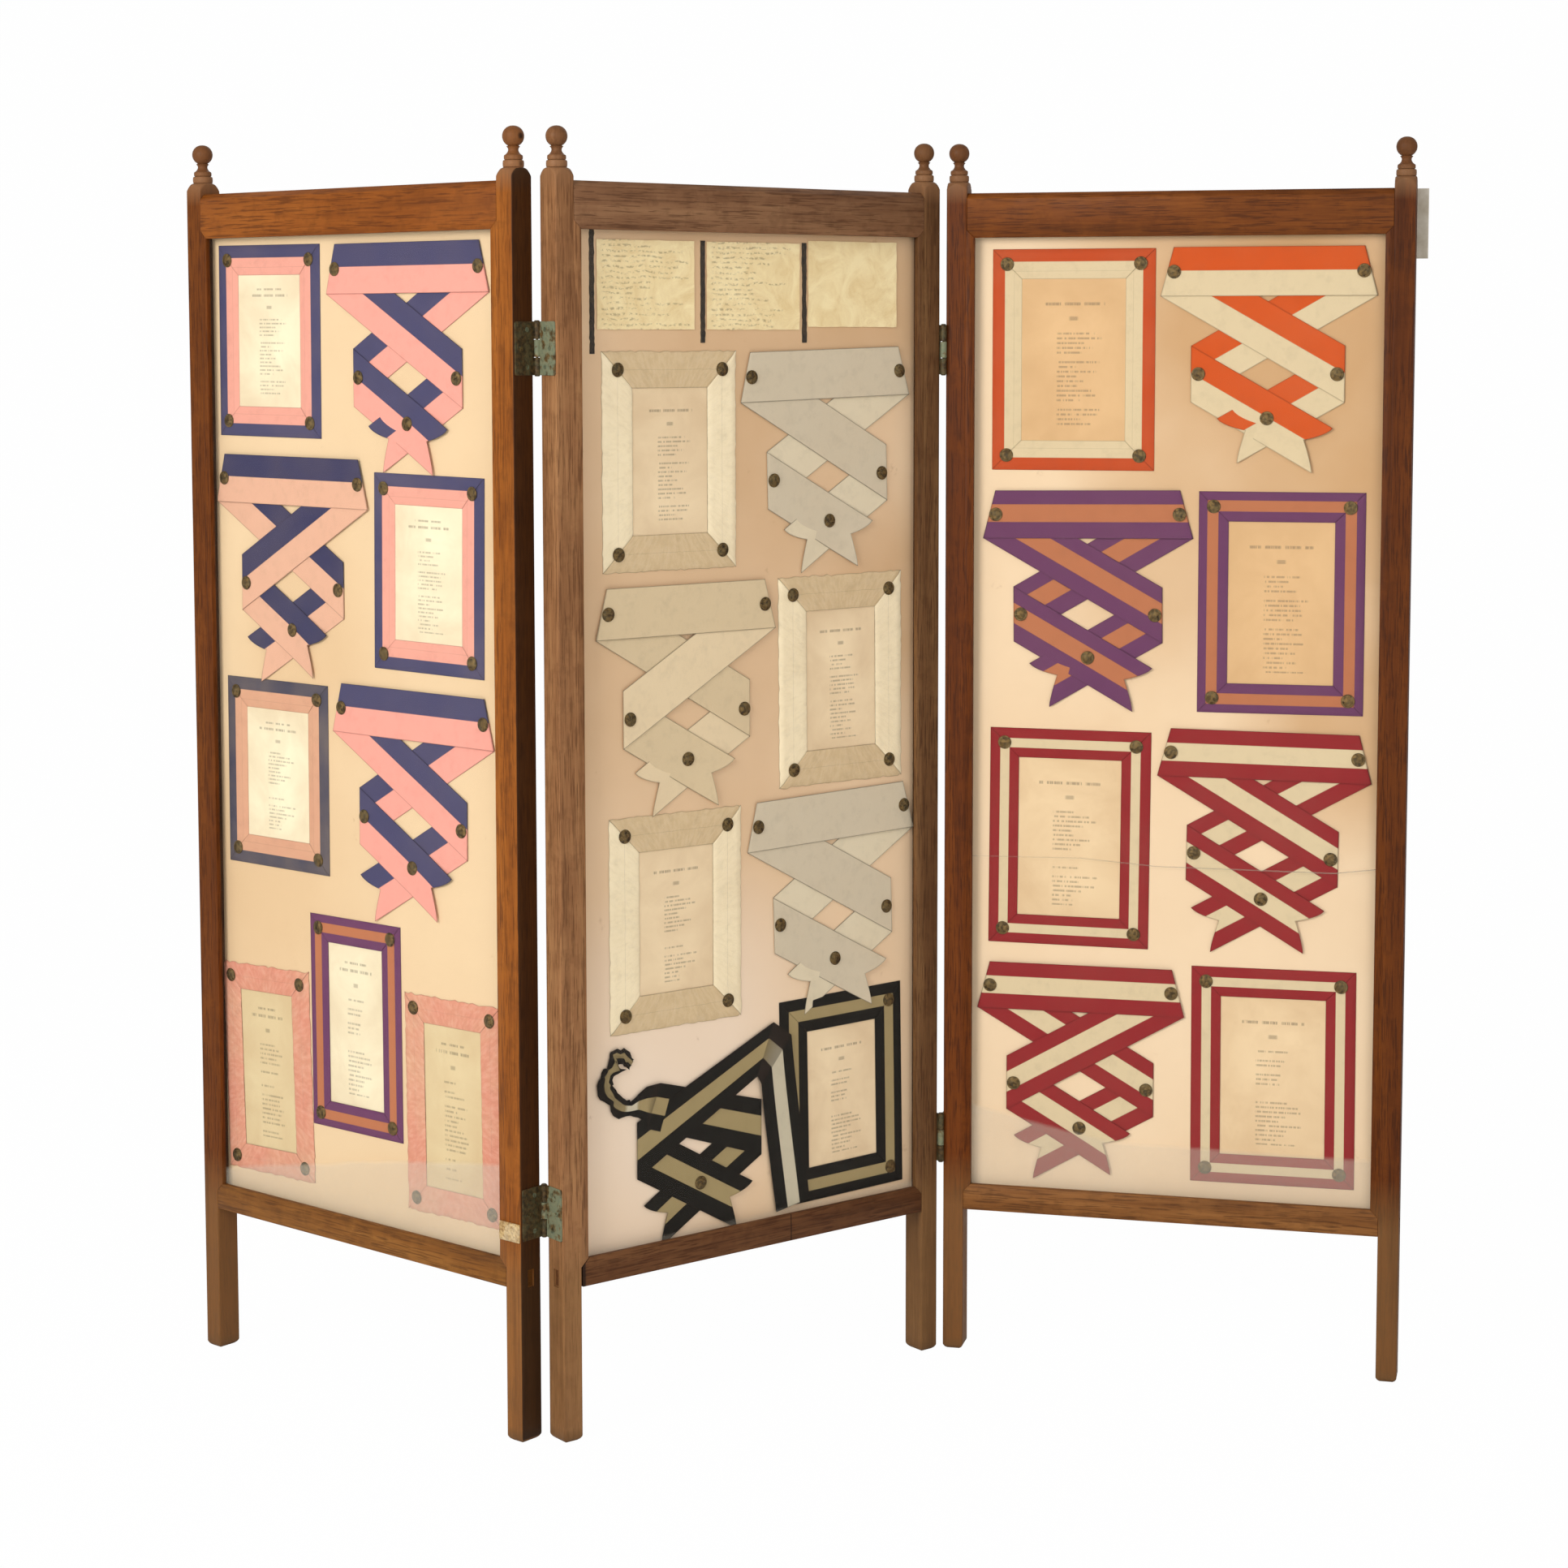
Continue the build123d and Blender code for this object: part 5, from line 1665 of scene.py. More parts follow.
@dataclass(frozen=True)
class Scatter:
    """A node tree that sets one shape at each point, each with a little of its own spin and tilt.

    Attributes:
        name: the tree's name.
        spin: most that one is turned about its own axis, in degrees.
        tilt: most that one leans, in degrees.
        seed: seed of both.
    """

    name: str
    spin: float
    tilt: float
    seed: int

    def tree(self) -> bpy.types.NodeTree:
        """Builds the tree, with named inputs for its shape, facing, spin, tilt and finish."""
        group = bpy.data.node_groups.new(self.name, "GeometryNodeTree")
        sockets = (
            ("Places", "NodeSocketGeometry"),
            ("Shape", "NodeSocketObject"),
            ("Facing", "NodeSocketVector"),
            ("Spin", "NodeSocketFloat"),
            ("Tilt", "NodeSocketFloat"),
            ("Finish", "NodeSocketMaterial"),
        )
        for name, kind in sockets:
            group.interface.new_socket(name=name, in_out="INPUT", socket_type=kind)
        group.interface.new_socket(name="Set out", in_out="OUTPUT", socket_type="NodeSocketGeometry")
        nodes, links = group.nodes, group.links
        given = nodes.new("NodeGroupInput")
        result = nodes.new("NodeGroupOutput")
        points = nodes.new("GeometryNodeMeshToPoints")
        shape = nodes.new("GeometryNodeObjectInfo")
        instance = nodes.new("GeometryNodeInstanceOnPoints")
        turn = nodes.new("GeometryNodeRotateInstances")
        turn.inputs["Local Space"].default_value = True
        angles = nodes.new("ShaderNodeCombineXYZ")
        for axis, (limit, offset) in enumerate((("Tilt", 1), ("Tilt", 2), ("Spin", 3))):
            pick = nodes.new("FunctionNodeRandomValue")
            pick.data_type = "FLOAT"
            pick.inputs["Seed"].default_value = self.seed + offset
            low = nodes.new("ShaderNodeMath")
            low.operation = "MULTIPLY"
            low.inputs[1].default_value = -1.0
            links.new(given.outputs[limit], low.inputs[0])
            links.new(low.outputs[0], pick.inputs[2])
            links.new(given.outputs[limit], pick.inputs[3])
            links.new(pick.outputs[1], angles.inputs[axis])
        real = nodes.new("GeometryNodeRealizeInstances")
        finish = nodes.new("GeometryNodeSetMaterial")
        links.new(given.outputs["Places"], points.inputs[0])
        links.new(given.outputs["Shape"], shape.inputs[0])
        links.new(points.outputs[0], instance.inputs["Points"])
        links.new(shape.outputs["Geometry"], instance.inputs["Instance"])
        links.new(instance.outputs[0], turn.inputs["Instances"])
        links.new(angles.outputs[0], turn.inputs["Rotation"])
        links.new(given.outputs["Facing"], instance.inputs["Rotation"])
        links.new(turn.outputs[0], real.inputs[0])
        links.new(real.outputs[0], finish.inputs[0])
        links.new(given.outputs["Finish"], finish.inputs["Material"])
        links.new(finish.outputs[0], result.inputs[0])
        return group

    def set_out(
        self, name: str, places: Sequence[Vector], shape: bpy.types.Object, facing: Sequence[float], finish: Finish
    ) -> bpy.types.Object:
        """Sets the shape out at each place and makes the result one plain mesh.

        Args:
            name: the piece's name.
            places: points in metres.
            shape: the object that is repeated.
            facing: turn that takes the shape's up to the way that it faces, in radians.
            finish: the finish of every copy.

        Returns:
            The piece.
        """
        data = bpy.data.meshes.new(name)
        data.from_pydata([tuple(place) for place in places], [], [])
        piece = bpy.data.objects.new(name, data)
        bpy.context.scene.collection.objects.link(piece)
        group = self.tree()
        maker = piece.modifiers.new("set out", "NODES")
        maker.node_group = group
        wanted = {
            "Shape": shape,
            "Facing": tuple(facing),
            "Spin": math.radians(self.spin),
            "Tilt": math.radians(self.tilt),
            "Finish": material_of(finish),
        }
        for socket in group.interface.items_tree:
            if socket.item_type == "SOCKET" and socket.in_out == "INPUT" and socket.name in wanted:
                maker[socket.identifier] = wanted[socket.name]
        settle(piece)
        return piece


AGED_BRASS = OldBrass("aged_button_brass", srgb(54, 40, 21), srgb(130, 104, 60), srgb(104, 98, 66), 0.2)


@dataclass
class Buttons:
    """The buttons of a leaf."""

    leaf: Leaf
    places: list[tuple[float, float, float]]
    radius: float = 8.8

    def prototype(self) -> bpy.types.Object:
        """One domed button with a raised rim, its face up."""
        share = self.radius / 8.8
        profile = [(7.6, 0.0), (8.7, 0.5), (8.8, 1.0), (8.3, 1.45), (7.7, 1.3), (7.2, 1.25), (6.2, 1.8), (4.4, 2.45)]
        profile += [(2.3, 2.8), (0.0, 2.9)]
        made = Draft()
        made.turned([(radius * share, height) for radius, height in profile], 18, (0, 0, 0))
        plain = Stance("plain", 0.0, (0, 0), (0, 0))
        return made.mesh("button", plain)

    def build(self, shop: Workshop) -> None:
        """Sets the buttons out and hands them over as one piece."""
        stance = self.leaf.value
        to_floor = stance.matrix()
        shape = self.prototype()
        smooth(shape, 60)
        spots = [to_floor @ Vector((x, MOUNT_FACE - height, z)) for x, z, height in self.places]
        facing = (math.radians(90), 0.0, math.radians(stance.turn))
        scatter = Scatter(f"{stance.body}_button_places", 180, 3, 11)
        piece = scatter.set_out(f"{stance.body}_domed_buttons", spots, shape, facing, AGED_BRASS)
        bpy.data.objects.remove(shape)
        shop.hand_over(piece, stance.body, "aged_brass", AGED_BRASS, [f"{stance.body}_buttons"])


# Hinges


@dataclass
class Hinge:
    """One butt hinge of a joint: two plates with their knuckles, and the pin.

    Attributes:
        joint: left_joint or right_joint.
        height: lower or upper.
        level: height of its middle in millimetres.
        outer: leaf that carries the two outer knuckles and the pin.
        inner: leaf that carries the middle knuckle.
        pin_at_back: whether the pin stands behind the leaves.
    """

    joint: str
    height: str
    level: float
    outer: Leaf
    inner: Leaf
    pin_at_back: bool
    plate: float = 2.0
    depth: float = 31.0
    knuckle: float = 4.2

    def finish(self, on_left_edge: bool) -> OldBrass:
        """Green bloom on the plates of left edges, dark olive on the others."""
        if on_left_edge:
            return OldBrass("green_hinge_brass", srgb(70, 54, 30), srgb(124, 98, 58), srgb(138, 154, 126), 0.55, 0.5)
        return OldBrass("olive_hinge_brass", srgb(48, 38, 20), srgb(92, 70, 38), srgb(98, 102, 70), 0.25, 0.5)

    def local(self, x: float, y: float, on_left_edge: bool) -> Point:
        """Place in the carrying leaf of a point given on a left edge with its pin behind."""
        if not self.pin_at_back:
            y = POST_DEPTH - y
        return (x if on_left_edge else LEAF_WIDTH - x, y)

    def slab(self, on_left_edge: bool) -> Draft:
        """A plate with rounded corners towards the leaf's far face."""
        made = Draft()
        bottom, top = self.level - HINGE_HEIGHT / 2, self.level + HINGE_HEIGHT / 2
        back = POST_DEPTH - 0.1
        outline = [(back - self.depth, bottom + 1.5), (back - self.depth + 1.5, bottom), (back, bottom)]
        outline += [(back, top), (back - self.depth + 1.5, top), (back - self.depth, top - 1.5)]
        rows = []
        for x in (-self.plate, 0.0):
            rows.append([(*self.local(x, y, on_left_edge), z) for y, z in outline])
        start = made.rows(rows, closed=True)
        made.fan(range(start, start + 6))
        made.fan(range(start + 6, start + 12))
        return made

    def add_knuckles(self, made: Draft, rows: Sequence[int], on_left_edge: bool) -> None:
        """Adds knuckles and the leaves of metal that join them to the plate."""
        pitch = HINGE_HEIGHT / 3
        bottom = self.level - HINGE_HEIGHT / 2
        centre = self.local(-HINGE_GAP, BACK_PIN_Y, on_left_edge)
        for row in rows:
            low = bottom + row * pitch + (0.35 if row else 0.0)
            high = bottom + (row + 1) * pitch - (0.35 if row < 2 else 0.0)
            radius = self.knuckle
            profile = [(radius - 0.4, low), (radius, low + 0.4), (radius, high - 0.4), (radius - 0.4, high)]
            made.turned(profile, 28, (*centre, 0))
            corners = [(-self.plate, POST_DEPTH - 0.4), (0.0, POST_DEPTH - 0.4), (0.0, BACK_PIN_Y), (-self.plate, BACK_PIN_Y)]
            sides = [self.local(x, y, on_left_edge) for x, y in corners]
            start = made.rows([[(*side, z) for side in sides] for z in (low, high)], closed=True)
            made.fan(range(start, start + 4))
            made.fan(range(start + 4, start + 8))

    def build(self, shop: Workshop) -> None:
        """Makes both plates and the pin."""
        for leaf, rows, part in ((self.outer, (0, 2), "outer_plate"), (self.inner, (1,), "inner_plate")):
            on_left_edge = part == "inner_plate"
            made = self.slab(on_left_edge)
            self.add_knuckles(made, rows, on_left_edge)
            node = f"{self.joint}_{self.height}_hinge_{part}"
            piece = made.mesh(f"{node}_worn", leaf.value)
            bevel = piece.modifiers.new("worn", "BEVEL")
            bevel.width, bevel.segments, bevel.limit_method = 0.25 * MM, 1, "ANGLE"
            bevel.angle_limit = math.radians(50)
            settle(piece)
            smooth(piece, 35)
            shop.hand_over(piece, leaf.body, "hinge_brass", self.finish(on_left_edge), [node])
        pin = Draft()
        low, high = self.level - HINGE_HEIGHT / 2, self.level + HINGE_HEIGHT / 2
        profile = [(1.6, low - 1.4), (2.9, low - 1.1), (3.2, low - 0.5), (3.1, low), (1.55, low + 0.1), (1.55, high - 0.1)]
        profile += [(3.1, high), (3.2, high + 0.5), (2.9, high + 1.1), (1.6, high + 1.4)]
        pin.turned(profile, 24, (*self.local(-HINGE_GAP, BACK_PIN_Y, False), 0))
        node = f"{self.joint}_{self.height}_hinge_pin"
        piece = pin.mesh(f"{node}_turned", self.outer.value)
        smooth(piece, 35)
        shop.hand_over(piece, self.outer.body, "hinge_brass", self.finish(False), [node])

    def screw_places(self, on_left_edge: bool) -> list[Vector]:
        """Leaf places of a plate's screw heads."""
        side = 1 if self.pin_at_back else -1
        rows = ((-22.0, side * 5.0), (0.0, -side * 5.0), (22.0, side * 5.0))
        x = -self.plate if on_left_edge else LEAF_WIDTH + self.plate
        return [Vector((x, POST_DEPTH / 2 + across, self.level + up)) for up, across in rows]


@dataclass
class Screws:
    """The countersunk screws of a leaf's hinges, each with a slot in its head."""

    leaf: Leaf
    left_edge: list[Vector]
    right_edge: list[Vector]

    def prototype(self) -> bpy.types.Object:
        """One screw, its head up and level with the plate."""
        made = Draft()
        made.turned([(1.5, -17.9), (1.6, -17.4), (1.6, -1.6), (3.1, -0.05), (2.9, 0.12), (0.4, 0.14)], 18, (0, 0, 0))
        plain = Stance("plain", 0.0, (0, 0), (0, 0))
        screw = made.mesh("screw", plain)
        slot = Draft()
        slot.prism([(-4.0, -0.5), (4.0, -0.5), (4.0, 1.0), (-4.0, 1.0)], -0.35, 0.35)
        cutter = slot.mesh("slot", plain)
        cut = screw.modifiers.new("slot", "BOOLEAN")
        cut.operation, cut.object, cut.solver = "DIFFERENCE", cutter, "EXACT"
        settle(screw)
        bpy.data.objects.remove(cutter)
        smooth(screw, 35)
        return screw

    def build(self, shop: Workshop) -> None:
        """Sets the screws out on both edges and hands them over as one piece."""
        stance = self.leaf.value
        to_floor = stance.matrix()
        shape = self.prototype()
        finish = OldBrass("screw_brass", srgb(48, 40, 24), srgb(112, 92, 52), srgb(120, 140, 116), 0.45, 0.7)
        parts = []
        for edge, places, lean in (("left", self.left_edge, -90), ("right", self.right_edge, 90)):
            if not places:
                continue
            spots = [to_floor @ place for place in places]
            scatter = Scatter(f"{stance.body}_{edge}_screw_places", 180, 0, 5)
            facing = (0.0, math.radians(lean), math.radians(stance.turn))
            parts.append(scatter.set_out(f"{stance.body}_{edge}_screws", spots, shape, facing, finish))
        bpy.data.objects.remove(shape)
        piece = join(parts)
        piece.name = f"{stance.body}_slotted_screws"
        shop.hand_over(piece, stance.body, "hinge_brass", finish, [f"{stance.body}_hinge_screws"])


# What lies behind the glass of each leaf

LONG_BAR = 144.0


def left_display() -> tuple[list[BorderedCard], list[FoldedRibbon]]:
    """Cards and folded ribbons of the left leaf."""
    cards = [
        BorderedCard("left_top_card", CardShape.SMALL, (0.207, 0.888), Dye.NAVY_PINK_BORDER, tilt=-0.4),
        BorderedCard("left_second_card", CardShape.SMALL, (0.741, 0.662), Dye.NAVY_PINK_BORDER, tilt=-0.8),
        BorderedCard("left_third_card", CardShape.SMALL, (0.214, 0.447), Dye.FADED_BORDER, tilt=-0.3),
        BorderedCard("left_centre_card", CardShape.TALL, (0.478, 0.201), Dye.PURPLE_COPPER, False, tilt=0.2),
        BorderedCard("left_low_card", CardShape.TALL, (0.163, 0.136), Dye.OLD_PINK, False, True, tilt=1.6),
        BorderedCard("left_last_card", CardShape.TALL, (0.804, 0.138), Dye.OLD_PINK, False, True, tilt=0.6),
    ]
    ribbons = [
        FoldedRibbon("left_top_folded", (0.680, 0.934), 147.0, 151.0, Dye.NAVY_PINK, LONG_BAR),
        FoldedRibbon("left_middle_folded", (0.279, 0.723), 167.0, 144.0, Dye.NAVY_SALMON, LONG_BAR, True, tilt=-0.4),
        FoldedRibbon("left_low_folded", (0.682, 0.498), 176.0, 150.0, Dye.NAVY_PINK, LONG_BAR, tilt=-0.4),
    ]
    return cards, ribbons


def middle_display() -> tuple[list[BorderedCard], list[FoldedRibbon]]:
    """Cards and folded ribbons of the middle leaf."""
    cards = [
        BorderedCard("middle_top_card", CardShape.SQUARE, (0.276, 0.772), Dye.IVORY, False, True),
        BorderedCard("middle_second_card", CardShape.SQUARE, (0.771, 0.547), Dye.IVORY, False, True, tilt=0.4),
        BorderedCard("middle_third_card", CardShape.SQUARE, (0.288, 0.323), Dye.IVORY, False, True),
        BorderedCard(
            "middle_last_card", CardShape.SQUARE, (0.775, 0.119), Dye.BLACK_STRAW_BORDER, False, tilt=1.0, loose_left=True
        ),
    ]
    ribbons: list[FoldedRibbon] = [
        FoldedRibbon("middle_top_folded", (0.726, 0.830), 150.0, 145.0, Dye.GREY_WHITE, tilt=1.6),
        FoldedRibbon("middle_second_folded", (0.320, 0.603), 158.0, 147.0, Dye.OLD_IVORY, rising_over=True, tilt=0.2),
        FoldedRibbon("middle_third_folded", (0.743, 0.383), 155.0, 162.0, Dye.GREY_WHITE, tilt=1.6),
        FallenRibbon("middle_fallen_folded", (0.352, 0.178), 166.0, 158.0, Dye.BLACK_STRAW, rising_over=True),
    ]
    return cards, ribbons


def right_display() -> tuple[list[BorderedCard], list[FoldedRibbon]]:
    """Cards and folded ribbons of the right leaf."""
    cards = [
        BorderedCard("right_top_card", CardShape.LARGE, (0.253, 0.868), Dye.ORANGE_CREAM_BORDER),
        BorderedCard("right_second_card", CardShape.LARGE, (0.750, 0.623), Dye.PURPLE_COPPER, False),
        BorderedCard("right_third_card", CardShape.LARGE, (0.251, 0.376), Dye.CRIMSON_CREAM_BORDER, False, tilt=-0.4),
        BorderedCard("right_last_card", CardShape.LARGE, (0.745, 0.136), Dye.CRIMSON_CREAM_BORDER, False, tilt=0.2),
    ]
    ribbons = [
        FoldedRibbon("right_top_folded", (0.712, 0.932), 138.0, 161.0, Dye.ORANGE_CREAM),
        FoldedRibbon("right_second_folded", (0.290, 0.686), 153.0, 162.0, Dye.PURPLE_COPPER, tilt=0.6),
        FoldedRibbon("right_third_folded", (0.715, 0.443), 168.0, 159.0, Dye.CRIMSON_CREAM, tilt=-0.6),
        FoldedRibbon("right_low_folded", (0.281, 0.194), 165.0, 143.0, Dye.CRIMSON_CREAM, rising_over=True),
    ]
    return cards, ribbons


@dataclass
class Display:
    """The mount of a leaf and everything on it."""

    leaf: Leaf
    cards: list[BorderedCard]
    ribbons: list[FoldedRibbon]
    paper: CardPaper

    def build(self, shop: Workshop) -> None:
        """Makes the cards, their borders, the folded ribbons and the buttons."""
        stance = self.leaf.value
        papers = []
        places: list[tuple[float, float, float]] = []
        for number, card in enumerate(self.cards):
            papers.append(card.card(number).mesh(f"{card.name}_paper", stance))
            strip = card.border()
            border = strip.piece(f"{card.name}_border", stance)
            node = f"{stance.body}_card_ribbons"
            shop.hand_over(border, stance.body, f"{stance.body}_ribbon", card.dye.value, [node])
            f"{stance.body}_mount_board"
            places += card.button_places()
        for ribbon in self.ribbons:
            ribbon.build(shop, stance)
            places += ribbon.button_places()
        paper = join_with_uv(papers, f"{stance.body}_marked_cards")
        smooth(paper, 40)
        shop.hand_over(paper, stance.body, "card", self.paper, [f"{stance.body}_cards"])
        Buttons(self.leaf, places).build(shop)


def join_with_uv(pieces: Sequence[bpy.types.Object], name: str) -> bpy.types.Object:
    """Joins pieces that carry their own patterns, under a new name."""
    first = join(pieces)
    first.name = name
    return first


@dataclass
class Notes:
    """The notes and black bands at the head of the middle mount."""

    leaf: Leaf = Leaf.MIDDLE

    def build(self, shop: Workshop) -> None:
        """Makes three cockled notes and three bands."""
        stance = self.leaf.value
        notes = []
        for number, place in enumerate(((0.212, 0.941), (0.514, 0.941), (0.806, 0.944))):
            notes.append(self.note(number, place).mesh(f"note_{number}", stance))
        piece = join_with_uv(notes, "middle_leaf_written_notes")
        smooth(piece, 40)
        shop.hand_over(piece, stance.body, "note_paper", NotePaper(), ["middle_leaf_paper_notes"])
        bands = Draft()
        for place, height in (((0.066, 0.935), 150.0), ((0.370, 0.935), 124.0), ((0.662, 0.935), 124.0)):
            self.add_band(bands, place, height)
        piece = bands.mesh("middle_leaf_ragged_bands", stance)
        smooth(piece, 40)
        ink = PlainPaint("black_band", srgb(20, 15, 12), srgb(64, 50, 34), 120, 0.7)
        shop.hand_over(piece, stance.body, "black_paper", ink, ["middle_leaf_black_bands"])

    def note(self, number: int, place: Point) -> Draft:
        """One note with a ragged edge and a cockled face."""
        width, height = 144.0, 107.0
        middle = on_mount(place)
        made = Draft()
        steps_x, steps_z = 24, 18
        for layer in (0.0, 0.3):
            rows = []
            for step_z in range(steps_z + 1):
                row = []
                for step_x in range(steps_x + 1):
                    share_x, share_z = step_x / steps_x, step_z / steps_z
                    edge = max(abs(2 * share_x - 1), abs(2 * share_z - 1)) ** 8
                    rag = 0.9 * noise.noise(Vector((share_x * 9, share_z * 9, number * 5.0))) * edge
                    x = middle[0] + (share_x - 0.5) * width + rag
                    z = middle[1] + (share_z - 0.5) * height + rag
                    lift = 0.1 + layer + 0.7 * edge * (0.6 + noise.noise(Vector((share_x * 4, share_z * 4, number))))
                    lift += 0.35 * (1 + noise.noise(Vector((share_x * 7, share_z * 6, number + 3.0))))
                    row.append((x, MOUNT_FACE - max(lift, 0.1), z))
                rows.append(row)
            start = made.rows(rows)
            for step_z in range(steps_z + 1):
                for step_x in range(steps_x + 1):
                    share_x = min(max(step_x / steps_x, 0.001), 0.999)
                    made.uvs[start + step_z * (steps_x + 1) + step_x] = (number + share_x, step_z / steps_z)
        wide = steps_x + 1
        count = wide * (steps_z + 1)
        ring = list(range(wide)) + [row * wide + steps_x for row in range(1, steps_z + 1)]
        ring += [steps_z * wide + column for column in range(steps_x - 1, -1, -1)]
        ring += [row * wide for row in range(steps_z - 1, 0, -1)]
        for here, there in zip(ring, ring[1:] + ring[:1]):
            made.faces.append((here, there, there + count, here + count))
        return made

    def add_band(self, made: Draft, place: Point, height: float) -> None:
        """Adds one narrow band with uneven edges."""
        x, z = on_mount(place)
        left, right = [], []
        steps = 40
        for step in range(steps + 1):
            level = z + (step / steps - 0.5) * height
            wander = 0.9 * noise.noise(Vector((x, level * 0.09, 2.0)))
            width = 3.4 + 0.8 * noise.noise(Vector((x, level * 0.21, 7.0)))
            left.append((x - width + wander, level))
            right.append((x + width + wander, level))
        made.prism(right + left[::-1], MOUNT_FACE - 0.75, MOUNT_FACE - 0.05)


# Stage, lamps and camera


@dataclass
class Studio:
    """Plain pale floor, soft lamps and the viewer's camera."""

    def build(self) -> None:
        """Sets the whole stage."""
        self.floor()
        self.sky()
        self.lamp("key", (-2.9, -3.3, 2.4), (-0.1, 0.0, 0.9), 2.0, 120.0, (1.0, 0.985, 0.95))
        self.lamp("fill", (1.3, -4.8, 1.9), (0.2, 0.0, 0.8), 2.6, 46.0, (1.0, 0.99, 0.97))
        self.lamp("back", (0.5, 3.4, 3.0), (0.0, 0.0, 0.9), 2.4, 14.0, (1.0, 1.0, 1.0))
        self.camera()

    def floor(self) -> None:
        """A floor that curves up into a backdrop."""
        profile = [(-9.0, 0.0), (3.2, 0.0)]
        profile += [(3.2 + 2.0 * math.sin(a), 2.0 - 2.0 * math.cos(a)) for a in (math.radians(9 * k) for k in range(1, 11))]
        profile.append((5.2, 7.0))
        data = bpy.data.meshes.new("floor")
        points = [(x, y, z) for y, z in profile for x in (-9.0, 9.0)]
        faces = [(2 * k, 2 * k + 1, 2 * k + 3, 2 * k + 2) for k in range(len(profile) - 1)]
        data.from_pydata(points, [], faces)
        data.shade_smooth()
        floor = bpy.data.objects.new("floor", data)
        bpy.context.scene.collection.objects.link(floor)
        bench = Bench("pale_floor")
        bench.finish(Base_Color=(0.86, 0.86, 0.86), Roughness=0.95, Specular_IOR_Level=0.1)
        rays = bench.node("ShaderNodeLightPath")
        seen = bench.sum("MAXIMUM", bench.wire(rays, "Is Camera Ray"), bench.wire(rays, "Is Transmission Ray"))
        glow = bench.node("ShaderNodeEmission", None, {"Color": (1, 1, 1), "Strength": 1.0})
        mixed = bench.node("ShaderNodeMixShader", None, {0: seen * 0.985})
        bench.tree.links.new(bench.shader.outputs[0], mixed.inputs[1])
        bench.tree.links.new(glow.outputs[0], mixed.inputs[2])
        bench.tree.links.new(mixed.outputs[0], bench.output.inputs[0])
        data.materials.append(bench.material)

    def sky(self) -> None:
        """Even pale light from all round."""
        world = bpy.data.worlds.new("studio")
        world.use_nodes = True
        nodes, links = world.node_tree.nodes, world.node_tree.links
        nodes.clear()
        output = nodes.new("ShaderNodeOutputWorld")
        lit = nodes.new("ShaderNodeBackground")
        lit.inputs[0].default_value = (1, 0.99, 0.98, 1)
        lit.inputs[1].default_value = 0.5
        seen = nodes.new("ShaderNodeBackground")
        seen.inputs[0].default_value = (1, 1, 1, 1)
        seen.inputs[1].default_value = 1.0
        rays = nodes.new("ShaderNodeLightPath")
        mixed = nodes.new("ShaderNodeMixShader")
        links.new(rays.outputs["Is Camera Ray"], mixed.inputs[0])
        links.new(lit.outputs[0], mixed.inputs[1])
        links.new(seen.outputs[0], mixed.inputs[2])
        links.new(mixed.outputs[0], output.inputs[0])
        bpy.context.scene.world = world

    def lamp(
        self, name: str, at: Sequence[float], towards: Sequence[float], size: float, power: float, tint: Colour
    ) -> None:
        """Adds a soft square lamp."""
        data = bpy.data.lights.new(name, "AREA")
        data.energy, data.size, data.color = power, size, tint
        lamp = bpy.data.objects.new(name, data)
        lamp.location = at
        lamp.rotation_euler = (Vector(towards) - Vector(at)).to_track_quat("-Z", "Y").to_euler()
        bpy.context.scene.collection.objects.link(lamp)

    def camera(self) -> None:
        """The viewer's camera, at the height and angle of the photograph."""
        yaw, pitch, roll = math.radians(2.812), math.radians(5.195), math.radians(-0.069)
        forward = Vector((math.sin(yaw) * math.cos(pitch), math.cos(yaw) * math.cos(pitch), -math.sin(pitch)))
        right = forward.cross(Vector((0, 0, 1))).normalized()
        up = right.cross(forward)
        turned_right = right * math.cos(roll) + up * math.sin(roll)
        turned_up = up * math.cos(roll) - right * math.sin(roll)
        basis = Matrix((turned_right, turned_up, -forward)).transposed().to_4x4()
        data = bpy.data.cameras.new("viewer")
        data.sensor_width = 36.0
        data.sensor_fit = "HORIZONTAL"
        data.lens = 71.931
        data.shift_y = -0.1
        camera = bpy.data.objects.new("viewer", data)
        camera.matrix_world = Matrix.Translation((-0.2074, -3.9153, 1.3297)) @ basis
        bpy.context.scene.collection.objects.link(camera)
        bpy.context.scene.camera = camera


# The whole screen


